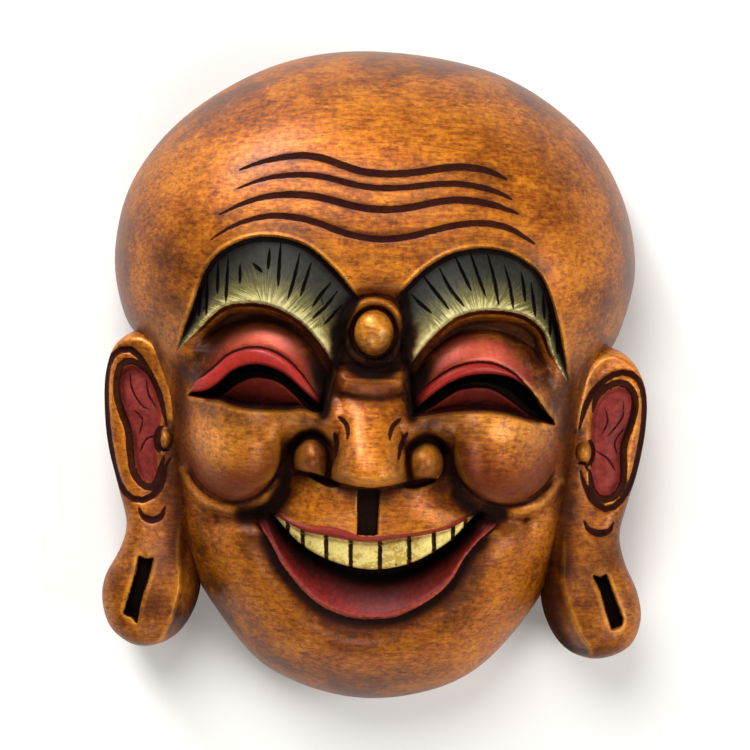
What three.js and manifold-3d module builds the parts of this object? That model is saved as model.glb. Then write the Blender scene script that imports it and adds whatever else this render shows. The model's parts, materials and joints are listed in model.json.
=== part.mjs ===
// A laughing mask, carved from one block of wood and hollowed behind.
// Millimetres. The mask lies on its back rim: +X is the viewer's right, +Y is the crown of the head, and +Z
// comes out of the face. Z is 0 on the rim. The carving is drawn on a face 300 units tall, then scaled.
import * as THREE from "three";
import Module from "manifold-3d";

const HEIGHT = 300; // crown to chin
const DEPTH = 122; // back rim to the tip of the nose
const WALL = 13; // wood left between the face and the hollow
const RIM = 12; // flat width of the back rim
const EAR_BACK = 3; // how far the ears' backs stay in front of the rim
const EAR_FRONT = 44; // how far the front of the ears stands in front of the rim
const HOLLOW_INSET = 4.5; // how far inside the rim's flat the hollow starts, because its side leans in
const HOLLOW_SPARE = 3; // what the carving's deepest cuts may take out of the wall

const DRAWN_HEIGHT = 300;
const DRAWN_DEPTH = 122;
const WIDEST = 24; // drawn height above the rim where the head is widest
const FACE_SHARE = 0.966; // the features stand in front of the outline, so they are carved a little smaller
const NET = 128; // cells along one side of the finest net, a power of 2
const FACET = { head: 0.85, ear: 0.85, hollow: 1.6 }; // how far a facet may lie off the form
const STEPS = 18; // steps along a carved line, from one end to the other
const LIP_STEPS = 28; // the same along the mouth, which is longer
const HEAD_STEPS = 200; // steps round the head's outline
const EAR_STEPS = { outline: 90, shell: 30 };

const across = HEIGHT / DRAWN_HEIGHT;
const deep = DEPTH / DRAWN_DEPTH;

const clamp = (v, low = 0, high = 1) => Math.min(high, Math.max(low, v));
const ramp = (a, b, v) => {
  const t = clamp((v - a) / (b - a));
  return t * t * (3 - 2 * t);
};
const bell = (q) => Math.exp(-q * q);
const cap = (q) => Math.sqrt(Math.max(0, 1 - q * q));
const mix = (a, b, t) => a + (b - a) * t;

// A smooth line through a few points, as short straight steps of one length.
function line(points, closed = false, share = 1, steps = STEPS) {
  const knots = points.map(([x, y]) => new THREE.Vector3(x * share, y * share, 0));
  const curve = new THREE.CatmullRomCurve3(knots, closed, "catmullrom", 0.5);
  curve.arcLengthDivisions = 400;
  const spots = curve.getSpacedPoints(steps).map((p) => [p.x, p.y]);
  return closed ? spots.slice(0, -1) : spots;
}

const featureLine = (points, steps) => line(points, false, FACE_SHARE, steps);

// The line a share of the way from one line to another that runs beside it.
const midway = (first, second, share) =>
  first.map(([x, y], i) => [mix(x, second[i][0], share), mix(y, second[i][1], share)]);

// How far a point is from a line.
function beside(spots, x, y, closed = false) {
  let best = Infinity;
  const last = closed ? spots.length : spots.length - 1;
  for (let i = 0; i < last; i++) {
    const [ax, ay] = spots[i];
    const [bx, by] = spots[(i + 1) % spots.length];
    const [ux, uy] = [bx - ax, by - ay];
    const t = clamp(((x - ax) * ux + (y - ay) * uy) / (ux * ux + uy * uy || 1));
    best = Math.min(best, Math.hypot(x - ax - t * ux, y - ay - t * uy));
  }
  return best;
}

// How deep a point is inside a closed line: negative outside.
function within(spots, x, y) {
  let inside = false;
  for (let i = 0, j = spots.length - 1; i < spots.length; j = i++) {
    const [ax, ay] = spots[i];
    const [bx, by] = spots[j];
    if (ay > y !== by > y && x < ((bx - ax) * (y - ay)) / (by - ay) + ax) inside = !inside;
  }
  return beside(spots, x, y, true) * (inside ? 1 : -1);
}

// The head from the front, without its ears, anticlockwise from the crown.
const HEAD = line(
  [
    [-5, 150], [-50, 142.5], [-90, 119], [-115, 88], [-123, 54], [-118, 25], [-106, 6], [-98, -20],
    [-94, -52], [-86, -85], [-70, -112], [-46, -137.5], [-10, -150], [25, -147.5], [54, -133], [80, -100],
    [91, -70], [95, -40], [98, -15], [103, 4], [113, 24], [119, 54], [111, 88], [90, 118], [50, 142],
  ],
  true,
  1,
  HEAD_STEPS,
);

// The brows are two sloping fans: the upper edge lies under the forehead, the lower edge overhangs the eye.
// Each eye is shut with laughter: a crescent slit through the wood between two lids. All lines run out from
// the nose.
const EYES = [
  {
    brow: [
      [-10, 36], [-20, 47.5], [-33, 58], [-46, 62], [-60, 61.5], [-73, 55.5], [-81, 46], [-87, 28],
      [-94, 9],
    ],
    edge: [
      [-20, 4.5], [-25, 15], [-34, 25], [-45, 30], [-58, 31.5], [-70, 30], [-79, 26], [-87, 16.5], [-94, 8],
    ],
    upper: [[-24, -17], [-34, -6], [-43, 0], [-54, 3.2], [-64, 2], [-73, -3], [-80, -10.5], [-89, -11.5]],
    lower: [[-24, -18], [-35, -11.5], [-44, -5], [-54, -3], [-63, -5], [-71, -10], [-79, -13.5], [-89, -12]],
    foot: [[-23, -19], [-34, -19], [-45, -17.5], [-56, -16.5], [-68, -15.5], [-80, -15], [-90, -12.5]],
    ball: { x: -55, y: -7, rx: 36, ry: 31 },
  },
  {
    brow: [[10, 38], [20, 48.5], [32, 56.5], [46, 60], [58, 59], [68, 54.5], [77, 46], [84, 28], [91, -1]],
    edge: [[15, 4], [20, 15], [30, 25], [42, 30.5], [53, 31.5], [65, 30], [74, 25.5], [83, 12], [91, -2]],
    upper: [[18, -17.5], [25, -9], [35, -2], [45, 1.2], [56, 1.5], [65, -2], [73, -11], [86, -20]],
    lower: [[18, -18.5], [26, -16], [34, -8], [44, -5], [53, -4.6], [62, -8.5], [72, -16], [86, -20.8]],
    foot: [[17, -19.5], [27, -19], [40, -17], [52, -16], [64, -17], [76, -20], [87, -22]],
    ball: { x: 50, y: -9, rx: 35, ry: 31 },
  },
].map(({ ball, ...lines }) => {
  const drawn = Object.entries(lines).map(([name, points]) => [name, featureLine(points)]);
  return { ball, ...Object.fromEntries(drawn) };
});

// Round forms: their middle is sunk under the face, and they rise from there.
const CHEEKS = [
  { x: -66, y: -37, rx: 23.5, ry: 25.5, sunk: 7, rise: 19 },
  { x: 63, y: -34, rx: 26, ry: 26, sunk: 7, rise: 19 },
];
const BEAD = { x: -1.5, y: 19.5, rx: 9.3, ry: 11, sunk: 4, rise: 11 }; // between the brows
const BEAD_RING = { ring: 12.6, width: 2.4, tall: 1.08, sunk: 3, rise: 5 };
const ROLL = { x: -3, y: -3, rx: 18, ry: 6.8, sunk: 7, rise: 9 }; // across the root of the nose
const NOSE = { x: -1.5, top: -9, edge: -52, lift: 3, narrow: 12, wide: 18.5, high: 26, blunt: 9, under: -14 };
const NOSTRILS = [
  { x: -28, y: -40, rx: 10.5, ry: 11, foot: -48, sunk: 9, rise: 20 },
  { x: 24, y: -40.5, rx: 10, ry: 11, foot: -48.5, sunk: 9, rise: 20 },
];
const FACETS_ROUND = { cheek: [20, 10], nostril: [14, 10], roll: [18, 8], bead: [18, 10], ring: [6, 24] };
const SMILE_FOLDS = [
  [[-36, -24], [-41, -36], [-44, -48], [-50, -58], [-60, -66], [-72, -70]],
  [[32, -24], [37, -36], [42, -48], [51, -58], [60, -66], [70, -68]],
].map((points) => featureLine(points));

// The open mouth: the edge of the upper lip, the lower edge of the teeth, and the lower lip's inner and outer
// edges.
const MOUTH = Object.fromEntries(
  Object.entries({
    lip: [
      [-56, -66], [-44, -63.5], [-31, -70], [-14, -74], [-5, -78.5], [2, -78.5], [12, -75.5], [30, -72],
      [42, -65.5], [58, -64],
    ],
    teeth: [
      [-56, -66.5], [-46, -68], [-39, -77], [-28, -85.5], [-13, -91], [3, -92.5], [18, -89.5],
      [32, -82.5], [43, -71], [58, -65],
    ],
    inner: [
      [-56, -67], [-46, -80], [-31, -93], [-14, -100], [3, -101.5], [20, -99], [36, -89], [49, -75],
      [58, -66],
    ],
    outer: [
      [-56, -67.5], [-47, -82], [-38, -96.5], [-24, -109.5], [-8, -114.5], [10, -114.2], [26, -108.5],
      [38, -97], [46, -82], [58, -66.5],
    ],
  }).map(([name, points]) => [name, featureLine(points, LIP_STEPS)]),
);
const MOUTH_DEEP = { lip: 7, teeth: 8, behindTeeth: 24, floor: 20, slope: 10, edge: 1.5 };
const TOOTH_GAPS = [-39, -31, -20.5, -8.8, 4.3, 18, 29.5, 38];
const TOOTH_GAP = { half: 0.8, deep: 9.5, lean: 0.3, past: 1 };

// The ears, anticlockwise on the viewer's left and clockwise on the right, with the hollow of each shell.
const EARS = [
  {
    outline: [
      [-112, 16.5], [-121, 9.5], [-125, -3], [-125, -20], [-122.5, -38], [-117, -57], [-113, -72],
      [-115.5, -84], [-122, -97], [-123, -109], [-118, -121.5], [-106, -128.5], [-92, -125.5],
      [-82.5, -115], [-78, -98], [-82, -75], [-86, -40], [-88, -10], [-92, 6], [-101, 16.5],
    ],
    middle: [-101, -63],
    shell: [
      [-111, 3], [-118, -3], [-119, -14], [-113, -27], [-111, -37], [-112, -47], [-104, -54.5],
      [-98, -48], [-99, -30], [-101, -12], [-105, 0],
    ],
    slit: [[-104, -87.5], [-109.5, -114.5]],
    lobe: [-106, -106],
  },
  {
    outline: [
      [109, 15.5], [119, 9], [125.3, -4], [125.8, -20], [123, -39], [118, -57], [115, -71], [118, -84],
      [124, -97], [126, -110], [121, -122], [108, -127.8], [94, -125.5], [84.5, -115], [79.5, -98],
      [82, -75], [86, -40], [88, -10], [91, 6], [99, 15.5],
    ],
    middle: [103, -63],
    shell: [
      [109, -1], [117, -3], [120, -13], [117, -24], [113.5, -33], [114.5, -45], [108, -54], [99, -49],
      [98, -30], [98, -18], [102, -7],
    ],
    slit: [[105.8, -89], [114, -112.5]],
    lobe: [108, -106],
  },
].map((ear) => ({
  ...ear,
  outline: line(ear.outline, true, 1, EAR_STEPS.outline),
  shell: line(ear.shell, true, 1, EAR_STEPS.shell),
}));
const EAR_SHELL_DEEP = 8;
const EAR_SLIT = { half: 3.2, deep: 7 };
const EAR_ROUND = 9; // how far the ears' front edge is rounded
const EAR_LEAN = { slope: 0.22, from: 124 }; // the front rises from the outer edge towards the head
const EAR_INNER = 22; // how far the inner side of the lobe falls away
const LOBE = { high: 7, wide: 22, tall: 28 };

// Height of the head before carving: the outline blown up like a pillow, fullest at the brow.
const CROWN_HIGH = 88;
const CHIN_HIGH = 62;
const HALF_ACROSS = 96; // distance from the outline at which the pillow is flat
function dome(x, y, far) {
  const full = mix(CHIN_HIGH, CROWN_HIGH, ramp(-150, 55, y));
  const in_ = 1 - clamp(far / HALF_ACROSS);
  return full * (1 - in_ ** 2.3) ** 0.52;
}

// The hollows and swellings that run into each other, before anything with an edge is cut: how high each is.
const SWELL = {
  betweenEyes: -6,
  besideNose: -9,
  folds: -6,
  underLip: -6,
  browEdge: 4.5,
  upperLip: 4,
  chin: 4,
};
function swelling(x, y) {
  const [u, v] = [x / FACE_SHARE, y / FACE_SHARE];
  const betweenEyes = SWELL.betweenEyes * ramp(24, 16, Math.abs(u + 2)) * ramp(42, 33, v) * ramp(-22, -8, v);
  const besideNose = SWELL.besideNose * bell((v + 38) / 17) * (bell((u + 33) / 12) + bell((u - 29) / 12));
  const folds = Math.min(...SMILE_FOLDS.map((fold) => SWELL.folds * bell(beside(fold, x, y) / 9)));
  const underLip = SWELL.underLip * bell(beside(MOUTH.outer, x, y) / 10) * ramp(-66, -84, v);
  const browEdge = Math.max(...EYES.map(({ edge }) => SWELL.browEdge * bell(beside(edge, x, y) / 11)));
  const upperLip = SWELL.upperLip * bell(Math.hypot(u / 36, (v + 64) / 12));
  const chin = SWELL.chin * bell(Math.hypot(u / 34, (v + 130) / 16));
  return Math.min(betweenEyes, folds) + besideNose + underLip + browEdge + upperLip + chin;
}

function levelAt(x, y) {
  return WIDEST + dome(x, y, Math.max(0, within(HEAD, x, y)));
}

function faceAt(x, y) {
  const far = Math.max(0, within(HEAD, x, y));
  return WIDEST + dome(x, y, far) + swelling(x, y) * ramp(0, 14, far);
}

// Height of the eyelids below the head's own form: a ball under the brow's ledge.
const LEDGE = { sunk: 5, drop: 8, wide: 6 };
const EYEBALL = { sunk: 15, rise: 15.5 };
function lidAt({ edge, ball }, x, y) {
  const ledge = -LEDGE.sunk - LEDGE.drop * ramp(0, LEDGE.wide, beside(edge, x, y));
  const q = Math.hypot((x - ball.x * FACE_SHARE) / ball.rx, (y - ball.y * FACE_SHARE) / ball.ry);
  return Math.max(ledge, EYEBALL.rise * cap(q) - EYEBALL.sunk);
}

function earAt(ear, x, y) {
  const far = Math.max(0, within(ear.outline, x, y));
  const edge = EAR_ROUND * (cap(1 - clamp(far / EAR_ROUND)) - 1);
  const lean = EAR_LEAN.slope * (EAR_LEAN.from - Math.abs(x));
  const innerWall = -EAR_INNER * ramp(94, 80, Math.abs(x)) * ramp(-64, -80, y);
  const [lx, ly] = ear.lobe;
  const lobe = LOBE.high * bell(Math.hypot((x - lx) / LOBE.wide, (y - ly) / LOBE.tall));
  return edge + lean + innerWall + lobe;
}

// The hollow behind follows the broad shape of the face, well behind its deepest carving.
const BEHIND = { eyes: -6, mouth: -19 };
function hollowAt(x, y, far) {
  const [u, v] = [x / FACE_SHARE, y / FACE_SHARE];
  const eyes = BEHIND.eyes * ramp(-40, -10, v) * ramp(70, 40, v) * ramp(100, 80, Math.abs(u));
  const mouth = BEHIND.mouth * bell(Math.hypot(u / 62, (v + 88) / 34) ** 1.5);
  return WIDEST + dome(x, y, far) + Math.min(eyes, mouth);
}

// The star-shaped outline as a distance from its middle for each direction.
function reach(spots, [mx, my]) {
  const polar = spots.map(([x, y]) => [Math.atan2(y - my, x - mx), Math.hypot(x - mx, y - my)]);
  polar.sort((a, b) => a[0] - b[0]);
  const turn = 2 * Math.PI;
  const round = [[polar.at(-1)[0] - turn, polar.at(-1)[1]], ...polar, [polar[0][0] + turn, polar[0][1]]];
  return (angle) => {
    let i = 1;
    while (i < round.length - 1 && round[i][0] < angle) i++;
    const [[a, ra], [b, rb]] = [round[i - 1], round[i]];
    return mix(ra, rb, (angle - a) / (b - a || 1));
  };
}

// A square net laid over the outline: its border is the outline, and its lines crowd towards it, where the
// form turns away.
function netSpots(outline, middle, steep) {
  const reachAt = reach(outline, middle);
  const spots = [];
  for (let j = 0; j <= NET; j++) {
    for (let i = 0; i <= NET; i++) {
      const [a, b] = [(2 * i) / NET - 1, (2 * j) / NET - 1];
      const [dx, dy] = [a * Math.sqrt(1 - (b * b) / 2), b * Math.sqrt(1 - (a * a) / 2)];
      const far = Math.min(1, Math.hypot(dx, dy));
      const eased = mix(far, far * (2 - far), steep);
      const angle = Math.atan2(dy, dx);
      const r = eased * reachAt(angle);
      spots.push([middle[0] + r * Math.cos(angle), middle[1] + r * Math.sin(angle)]);
    }
  }
  return spots;
}

// Splits a square net into right triangles, halving each only where the form needs it.
function triangles(points, tolerance) {
  const width = NET + 1;
  const at = (i, j) => points[j * width + i];
  const normal = (i, j) => {
    const [w, e] = [at(Math.max(i - 1, 0), j), at(Math.min(i + 1, NET), j)];
    const [s, n] = [at(i, Math.max(j - 1, 0)), at(i, Math.min(j + 1, NET))];
    return e.clone().sub(w).cross(n.clone().sub(s)).normalize();
  };
  const split = new Uint8Array(width * width);
  const off = (i, j, di, dj) => {
    if (i - di < 0 || i + di > NET || j - dj < 0 || j + dj > NET || j + dj < 0 || j - dj > NET) return 0;
    const middle = at(i - di, j - dj).clone().add(at(i + di, j + dj)).multiplyScalar(0.5);
    return Math.abs(at(i, j).clone().sub(middle).dot(normal(i, j)));
  };
  const marked = (i, j) => i >= 0 && j >= 0 && i <= NET && j <= NET && split[j * width + i];
  for (let s = 1; s < NET; s *= 2) {
    for (let j = 0; j <= NET; j += s) {
      for (let i = 0; i <= NET; i += s) {
        const [oddI, oddJ] = [(i / s) % 2, (j / s) % 2];
        if (oddI === oddJ) continue;
        const own = oddI ? off(i, j, s, 0) : off(i, j, 0, s);
        const half = s / 2;
        const corners = [[half, half], [half, -half], [-half, half], [-half, -half]];
        const finer = s > 1 && corners.some(([a, b]) => marked(i + a, j + b));
        if (own > tolerance || finer) split[j * width + i] = 1;
      }
    }
    for (let j = s; j <= NET; j += 2 * s) {
      for (let i = s; i <= NET; i += 2 * s) {
        const own = Math.max(off(i, j, s, s), off(i, j, s, -s));
        const finer = [[s, 0], [-s, 0], [0, s], [0, -s]].some(([a, b]) => marked(i + a, j + b));
        if (own > tolerance || finer) split[j * width + i] = 1;
      }
    }
  }
  const out = [];
  const visit = (a, b, c) => {
    const m = [(a[0] + b[0]) / 2, (a[1] + b[1]) / 2];
    const smallest = Math.abs(a[0] - c[0]) + Math.abs(a[1] - c[1]) <= 1;
    if (!smallest && split[m[1] * width + m[0]]) {
      visit(c, a, m);
      visit(b, c, m);
    } else {
      out.push([a, b, c].map(([i, j]) => j * width + i));
    }
  };
  visit([0, 0], [NET, NET], [NET, 0]);
  visit([NET, NET], [0, 0], [0, NET]);
  return out.map(([a, b, c]) => [a, c, b]);
}

// A closed solid under a carved front: the front's border goes down through the rings, and the last ring is
// closed flat.
function carved({ outline, middle, steep, front, rings, tolerance }) {
  const spots = netSpots(outline, middle, steep);
  const points = spots.map(([x, y]) => new THREE.Vector3(x * across, y * across, front(x, y)));
  const faces = triangles(points, tolerance);
  const used = new Map();
  const vertices = [];
  const keep = (id) => {
    if (!used.has(id)) {
      used.set(id, vertices.length);
      vertices.push(points[id]);
    }
    return used.get(id);
  };
  const out = faces.map((face) => face.map(keep));
  const width = NET + 1;
  const border = [];
  for (let k = 0; k < NET; k++) border.push(k);
  for (let k = 0; k < NET; k++) border.push(k * width + NET);
  for (let k = NET; k > 0; k--) border.push(NET * width + k);
  for (let k = NET; k > 0; k--) border.push(k * width);
  let above = border.filter((id) => used.has(id)).map((id) => used.get(id));
  const centre = new THREE.Vector2(middle[0], middle[1]).multiplyScalar(across);
  const outer = above.map((id) => new THREE.Vector2(vertices[id].x, vertices[id].y));
  for (const { inset = 0, share = 0, z } of rings) {
    const below = outer.map((p) => {
      const away = p.clone().sub(centre);
      away.setLength(away.length() * (1 - share) - inset);
      vertices.push(new THREE.Vector3(centre.x + away.x, centre.y + away.y, z));
      return vertices.length - 1;
    });
    above.forEach((a, i) => {
      const n = (i + 1) % above.length;
      out.push([a, below[i], below[n]], [a, below[n], above[n]]);
    });
    above = below;
  }
  vertices.push(new THREE.Vector3(centre.x, centre.y, rings.at(-1).z));
  const hub = vertices.length - 1;
  above.forEach((a, i) => out.push([a, hub, above[(i + 1) % above.length]]));
  return { vertices, faces: out };
}

const wasm = await Module();
wasm.setup();

function solid({ vertices, faces }) {
  const vertProperties = new Float32Array(vertices.flatMap((p) => [p.x, p.y, p.z]));
  const build = (triangle) =>
    new wasm.Manifold(
      new wasm.Mesh({ numProp: 3, vertProperties, triVerts: new Uint32Array(faces.flatMap(triangle)) }),
    );
  const made = build((face) => face);
  return made.volume() < 0 ? build(([a, b, c]) => [a, c, b]) : made;
}

const real = ([x, y, z]) => new THREE.Vector3(x * across, y * across, z * deep);

// A point of the face at a height over or under the head's own form.
const onFace = (x, y, z) => real([x, y, levelAt(x, y) + z]);

// A net of points, closed with another net of the same size: the solid between the two.
function slab(near, far) {
  const [rows, columns] = [near.length, near[0].length];
  const vertices = [...near.flat(), ...far.flat()];
  const lift = rows * columns;
  const at = (i, j) => i * columns + j;
  const faces = [];
  const quad = (a, b, c, d) => faces.push([a, b, c], [a, c, d]);
  for (let i = 0; i < rows - 1; i++) {
    for (let j = 0; j < columns - 1; j++) {
      const [a, b, c, d] = [at(i, j), at(i + 1, j), at(i + 1, j + 1), at(i, j + 1)];
      quad(a, b, c, d);
      quad(lift + d, lift + c, lift + b, lift + a);
    }
  }
  const border = [];
  for (let j = 0; j < columns - 1; j++) border.push(at(0, j));
  for (let i = 0; i < rows - 1; i++) border.push(at(i, columns - 1));
  for (let j = columns - 1; j > 0; j--) border.push(at(rows - 1, j));
  for (let i = rows - 1; i > 0; i--) border.push(at(i, 0));
  border.forEach((a, k) => {
    const b = border[(k + 1) % border.length];
    quad(a, b, lift + b, lift + a);
  });
  return solid({ vertices, faces });
}

// What a chisel takes out of the face, down to a row of lines. Each has a depth, or one for each spot and
// share along it.
const CLEAR = 2 * DEPTH;
const above = (net) => net.map((row) => row.map((p) => new THREE.Vector3(p.x, p.y, CLEAR)));
function chisel(rows) {
  const depth = (z, x, y, t) => (typeof z === "function" ? z(x, y, t) : z);
  const near = rows.map(({ spots, z }) =>
    spots.map(([x, y], i) => onFace(x, y, depth(z, x, y, i / (spots.length - 1)))),
  );
  return slab(near, above(near));
}

// A ball pressed into the face, its lower side cut off flat at a foot.
function lump({ x, y, rx, ry, sunk, rise, foot = -Infinity }, [around, up]) {
  const ball = new THREE.SphereGeometry(1, around, up).rotateX(Math.PI / 2);
  const place = (p) => {
    const [u, v] = [(x + rx * p.x) * FACE_SHARE, Math.max(y + ry * p.y, foot) * FACE_SHARE];
    return onFace(u, v, rise * p.z - sunk);
  };
  return fromGeometry(ball, place);
}

function fromGeometry(geometry, place) {
  const position = geometry.getAttribute("position");
  const ids = new Map();
  const vertices = [];
  const corners = [];
  for (let i = 0; i < position.count; i++) {
    const p = new THREE.Vector3().fromBufferAttribute(position, i);
    const key = [p.x, p.y, p.z].map((v) => v.toFixed(5) * 1).join();
    if (!ids.has(key)) {
      ids.set(key, vertices.length);
      vertices.push(place(p));
    }
    corners.push(ids.get(key));
  }
  const order = geometry.index ? [...geometry.index.array].map((i) => corners[i]) : corners;
  const faces = [];
  for (let i = 0; i < order.length; i += 3) {
    const face = order.slice(i, i + 3);
    if (new Set(face).size === 3) faces.push(face);
  }
  return solid({ vertices, faces });
}

// The block of the head, rounded off towards the rim: how far the side draws in, at a share of its height.
const HEAD_SIDE = [[0.6, 0.55], [2.2, 0.2], [4.5, 0]];
function headBlock() {
  return solid(
    carved({
      outline: HEAD,
      middle: [0, 0],
      steep: 0.6,
      front: (x, y) => faceAt(x, y) * deep,
      rings: HEAD_SIDE.map(([inset, share]) => ({ inset: inset * across, z: WIDEST * share * deep })),
      tolerance: FACET.head * across,
    }),
  );
}

// What the gouge takes out from behind, down through the rim.
const PAST_RIM = 10;
function hollowBlock() {
  const inset = RIM + HOLLOW_INSET * across;
  const shrunk = HEAD.map(([x, y]) => {
    const share = 1 - inset / across / Math.hypot(x, y);
    return [x * share, y * share];
  });
  const roof = (x, y) => hollowAt(x, y, Math.max(0, within(shrunk, x, y))) * deep * 0.98;
  return solid(
    carved({
      outline: shrunk,
      middle: [0, 0],
      steep: 0.6,
      front: (x, y) => Math.max(0, roof(x, y) - WALL - HOLLOW_SPARE),
      rings: [{ inset: 0, z: -PAST_RIM }],
      tolerance: FACET.hollow * across,
    }),
  );
}

// A sloping fan for the brow, then the ledge under it, the lids, and the crease over the cheek. All of it runs
// out shallow at the temple. The slit goes through the wood.
const BROW = { sunk: 6, rise: 10, bend: 1.4 };
const UNDER_LID = { sunk: 3.5, drop: 5 };
function eyeCuts(eye) {
  const { brow, edge, upper, lower, foot } = eye;
  const runOut = (t) => mix(0.3, 1, ramp(1, 0.75, t));
  const lid = (x, y, t) => lidAt(eye, x, y) * runOut(t);
  const band = (from, to, shares, height) =>
    shares.map((share) => ({ spots: midway(from, to, share), z: (x, y, t) => height(share) * runOut(t) }));
  const rows = [
    ...band(brow, edge, [0, 0.35, 0.7, 1], (share) => BROW.rise * share ** BROW.bend - BROW.sunk),
    ...[0, 0.12, 0.4, 0.7, 1].map((share) => ({ spots: midway(edge, upper, share), z: lid })),
    { spots: lower, z: lid },
    ...band(lower, foot, [0.02, 0.5, 1], (share) => -UNDER_LID.sunk - UNDER_LID.drop * share),
  ];
  const slit = [0.06, 0.94].map((share) => midway(upper, lower, share).map(([x, y]) => real([x, y, WIDEST])));
  return [chisel(rows), slab(slit, above(slit))];
}

function noseBlock() {
  const { x: mid, top, edge, lift, narrow, wide, high, blunt, under } = NOSE;
  const rows = 10;
  const section = 12;
  const net = (height) =>
    Array.from({ length: rows + 1 }, (_, i) =>
      Array.from({ length: section + 1 }, (_, j) => {
        const [t, angle] = [i / rows, (Math.PI * j) / section];
        const half = mix(narrow, wide, ramp(0, 0.9, t));
        const side = Math.cos(angle);
        const u = half * Math.sign(side) * Math.abs(side) ** 0.7;
        const foot = edge + lift * (u / wide) ** 2;
        const rise = 1 + high * ramp(-0.1, 0.92, t) ** 0.9 - blunt * ramp(0.8, 1.03, t) ** 2;
        const round = -5 + (rise + 3) * Math.sin(angle) ** 1.1 * ramp(-0.08, 0.12, t) ** 0.5;
        return onFace((mid + u) * FACE_SHARE, mix(top, foot, t) * FACE_SHARE, height ?? round);
      }),
    );
  return slab(net(), net(under));
}

function beadParts() {
  const { x, y } = BEAD;
  const { ring, width, tall, sunk, rise } = BEAD_RING;
  const torus = new THREE.TorusGeometry(ring, width, ...FACETS_ROUND.ring);
  const raised = (p) =>
    onFace((x + p.x) * FACE_SHARE, (y + p.y * tall) * FACE_SHARE, (p.z * rise) / width - sunk);
  return [fromGeometry(torus, raised), lump(BEAD, FACETS_ROUND.bead)];
}

function mouthCut() {
  const { lip, teeth, inner, outer } = MOUTH;
  const rows = [
    { spots: lip, z: -MOUTH_DEEP.lip },
    { spots: teeth, z: -MOUTH_DEEP.teeth },
    { spots: teeth, z: -MOUTH_DEEP.behindTeeth },
    { spots: inner, z: -MOUTH_DEEP.floor },
    { spots: midway(inner, outer, 0.5), z: -MOUTH_DEEP.slope },
    { spots: outer, z: -MOUTH_DEEP.edge },
  ];
  return chisel(rows);
}

// The dark lines between the teeth.
function toothGaps() {
  const { half, deep: depth, lean, past } = TOOTH_GAP;
  return TOOTH_GAPS.map((gap) => {
    const x = gap * FACE_SHARE;
    const cross = (spots) => spots.reduce((a, b) => (Math.abs(b[0] - x) < Math.abs(a[0] - x) ? b : a))[1];
    const [high, low] = [cross(MOUTH.lip), cross(MOUTH.teeth)];
    const row = (u) => ({ spots: [[u, high], [u - lean, low - past]], z: -depth });
    return chisel([row(x - half), row(x + half)]);
  });
}

// The ears' sides draw in towards the back: a share off their reach, at a share of their height.
const EAR_SIDE = [[0.02, 0.6], [0.08, 0.15], [0.15, 0]];
function earBlock(ear) {
  return solid(
    carved({
      outline: ear.outline,
      middle: ear.middle,
      steep: 0.5,
      front: (x, y) => EAR_FRONT + earAt(ear, x, y) * deep,
      rings: EAR_SIDE.map(([share, height]) => ({ share, z: mix(EAR_BACK, EAR_FRONT, height) })),
      tolerance: FACET.ear * across,
    }),
  );
}

// What is cut out of the front of an ear inside a closed line, to one depth below its surface.
function earCut(ear, drawn, depth) {
  const flat = drawn.map(([x, y]) => new THREE.Vector2(x, y));
  if (THREE.ShapeUtils.isClockWise(flat)) flat.reverse();
  const floor = flat.map((p) => real([p.x, p.y, 0]).setZ(EAR_FRONT + (earAt(ear, p.x, p.y) - depth) * deep));
  const count = flat.length;
  const faces = THREE.ShapeUtils.triangulateShape(flat, []);
  const lid = faces.map(([a, b, c]) => [count + a, count + c, count + b]);
  const walls = flat.flatMap((_, i) => {
    const n = (i + 1) % count;
    return [[n, i, count + i], [n, count + i, count + n]];
  });
  return solid({ vertices: [...floor, ...above([floor])[0]], faces: [...faces, ...lid, ...walls] });
}

function earSlit({ slit: [[ax, ay], [bx, by]] }) {
  const { half } = EAR_SLIT;
  const along = new THREE.Vector2(bx - ax, by - ay).normalize();
  const [nx, ny] = [-along.y * half, along.x * half];
  return [[ax + nx, ay + ny], [bx + nx, by + ny], [bx - nx, by - ny], [ax - nx, ay - ny]];
}

function mask() {
  let wood = headBlock();
  const add = (made) => (wood = wood.add(made));
  const cut = (made) => (wood = wood.subtract(made));
  CHEEKS.forEach((cheek) => add(lump(cheek, FACETS_ROUND.cheek)));
  EYES.flatMap(eyeCuts).forEach(cut);
  add(noseBlock());
  NOSTRILS.forEach((nostril) => add(lump(nostril, FACETS_ROUND.nostril)));
  add(lump(ROLL, FACETS_ROUND.roll));
  beadParts().forEach(add);
  cut(mouthCut());
  toothGaps().forEach(cut);
  EARS.forEach((ear) => {
    add(earBlock(ear));
    cut(earCut(ear, ear.shell, EAR_SHELL_DEEP));
    cut(earCut(ear, earSlit(ear), EAR_SLIT.deep));
  });
  cut(hollowBlock());
  const { vertProperties, triVerts } = wood.getMesh();
  const geometry = new THREE.BufferGeometry();
  geometry.setAttribute("position", new THREE.BufferAttribute(new Float32Array(vertProperties), 3));
  geometry.setIndex(new THREE.BufferAttribute(new Uint32Array(triVerts), 1));
  geometry.computeBoundingBox();
  const middle = geometry.boundingBox.getCenter(new THREE.Vector3());
  geometry.translate(-middle.x, -middle.y, 0);
  geometry.computeVertexNormals();
  return geometry;
}

const gilded = new THREE.MeshStandardMaterial({ color: 0xb56a26, roughness: 0.35, metalness: 0.15 });
const carving = new THREE.Mesh(mask(), gilded);
carving.name = "mask";

const part = new THREE.Group();
part.name = "laughing_mask";
part.add(carving);

export default part;
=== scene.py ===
# %% [markdown]
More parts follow.
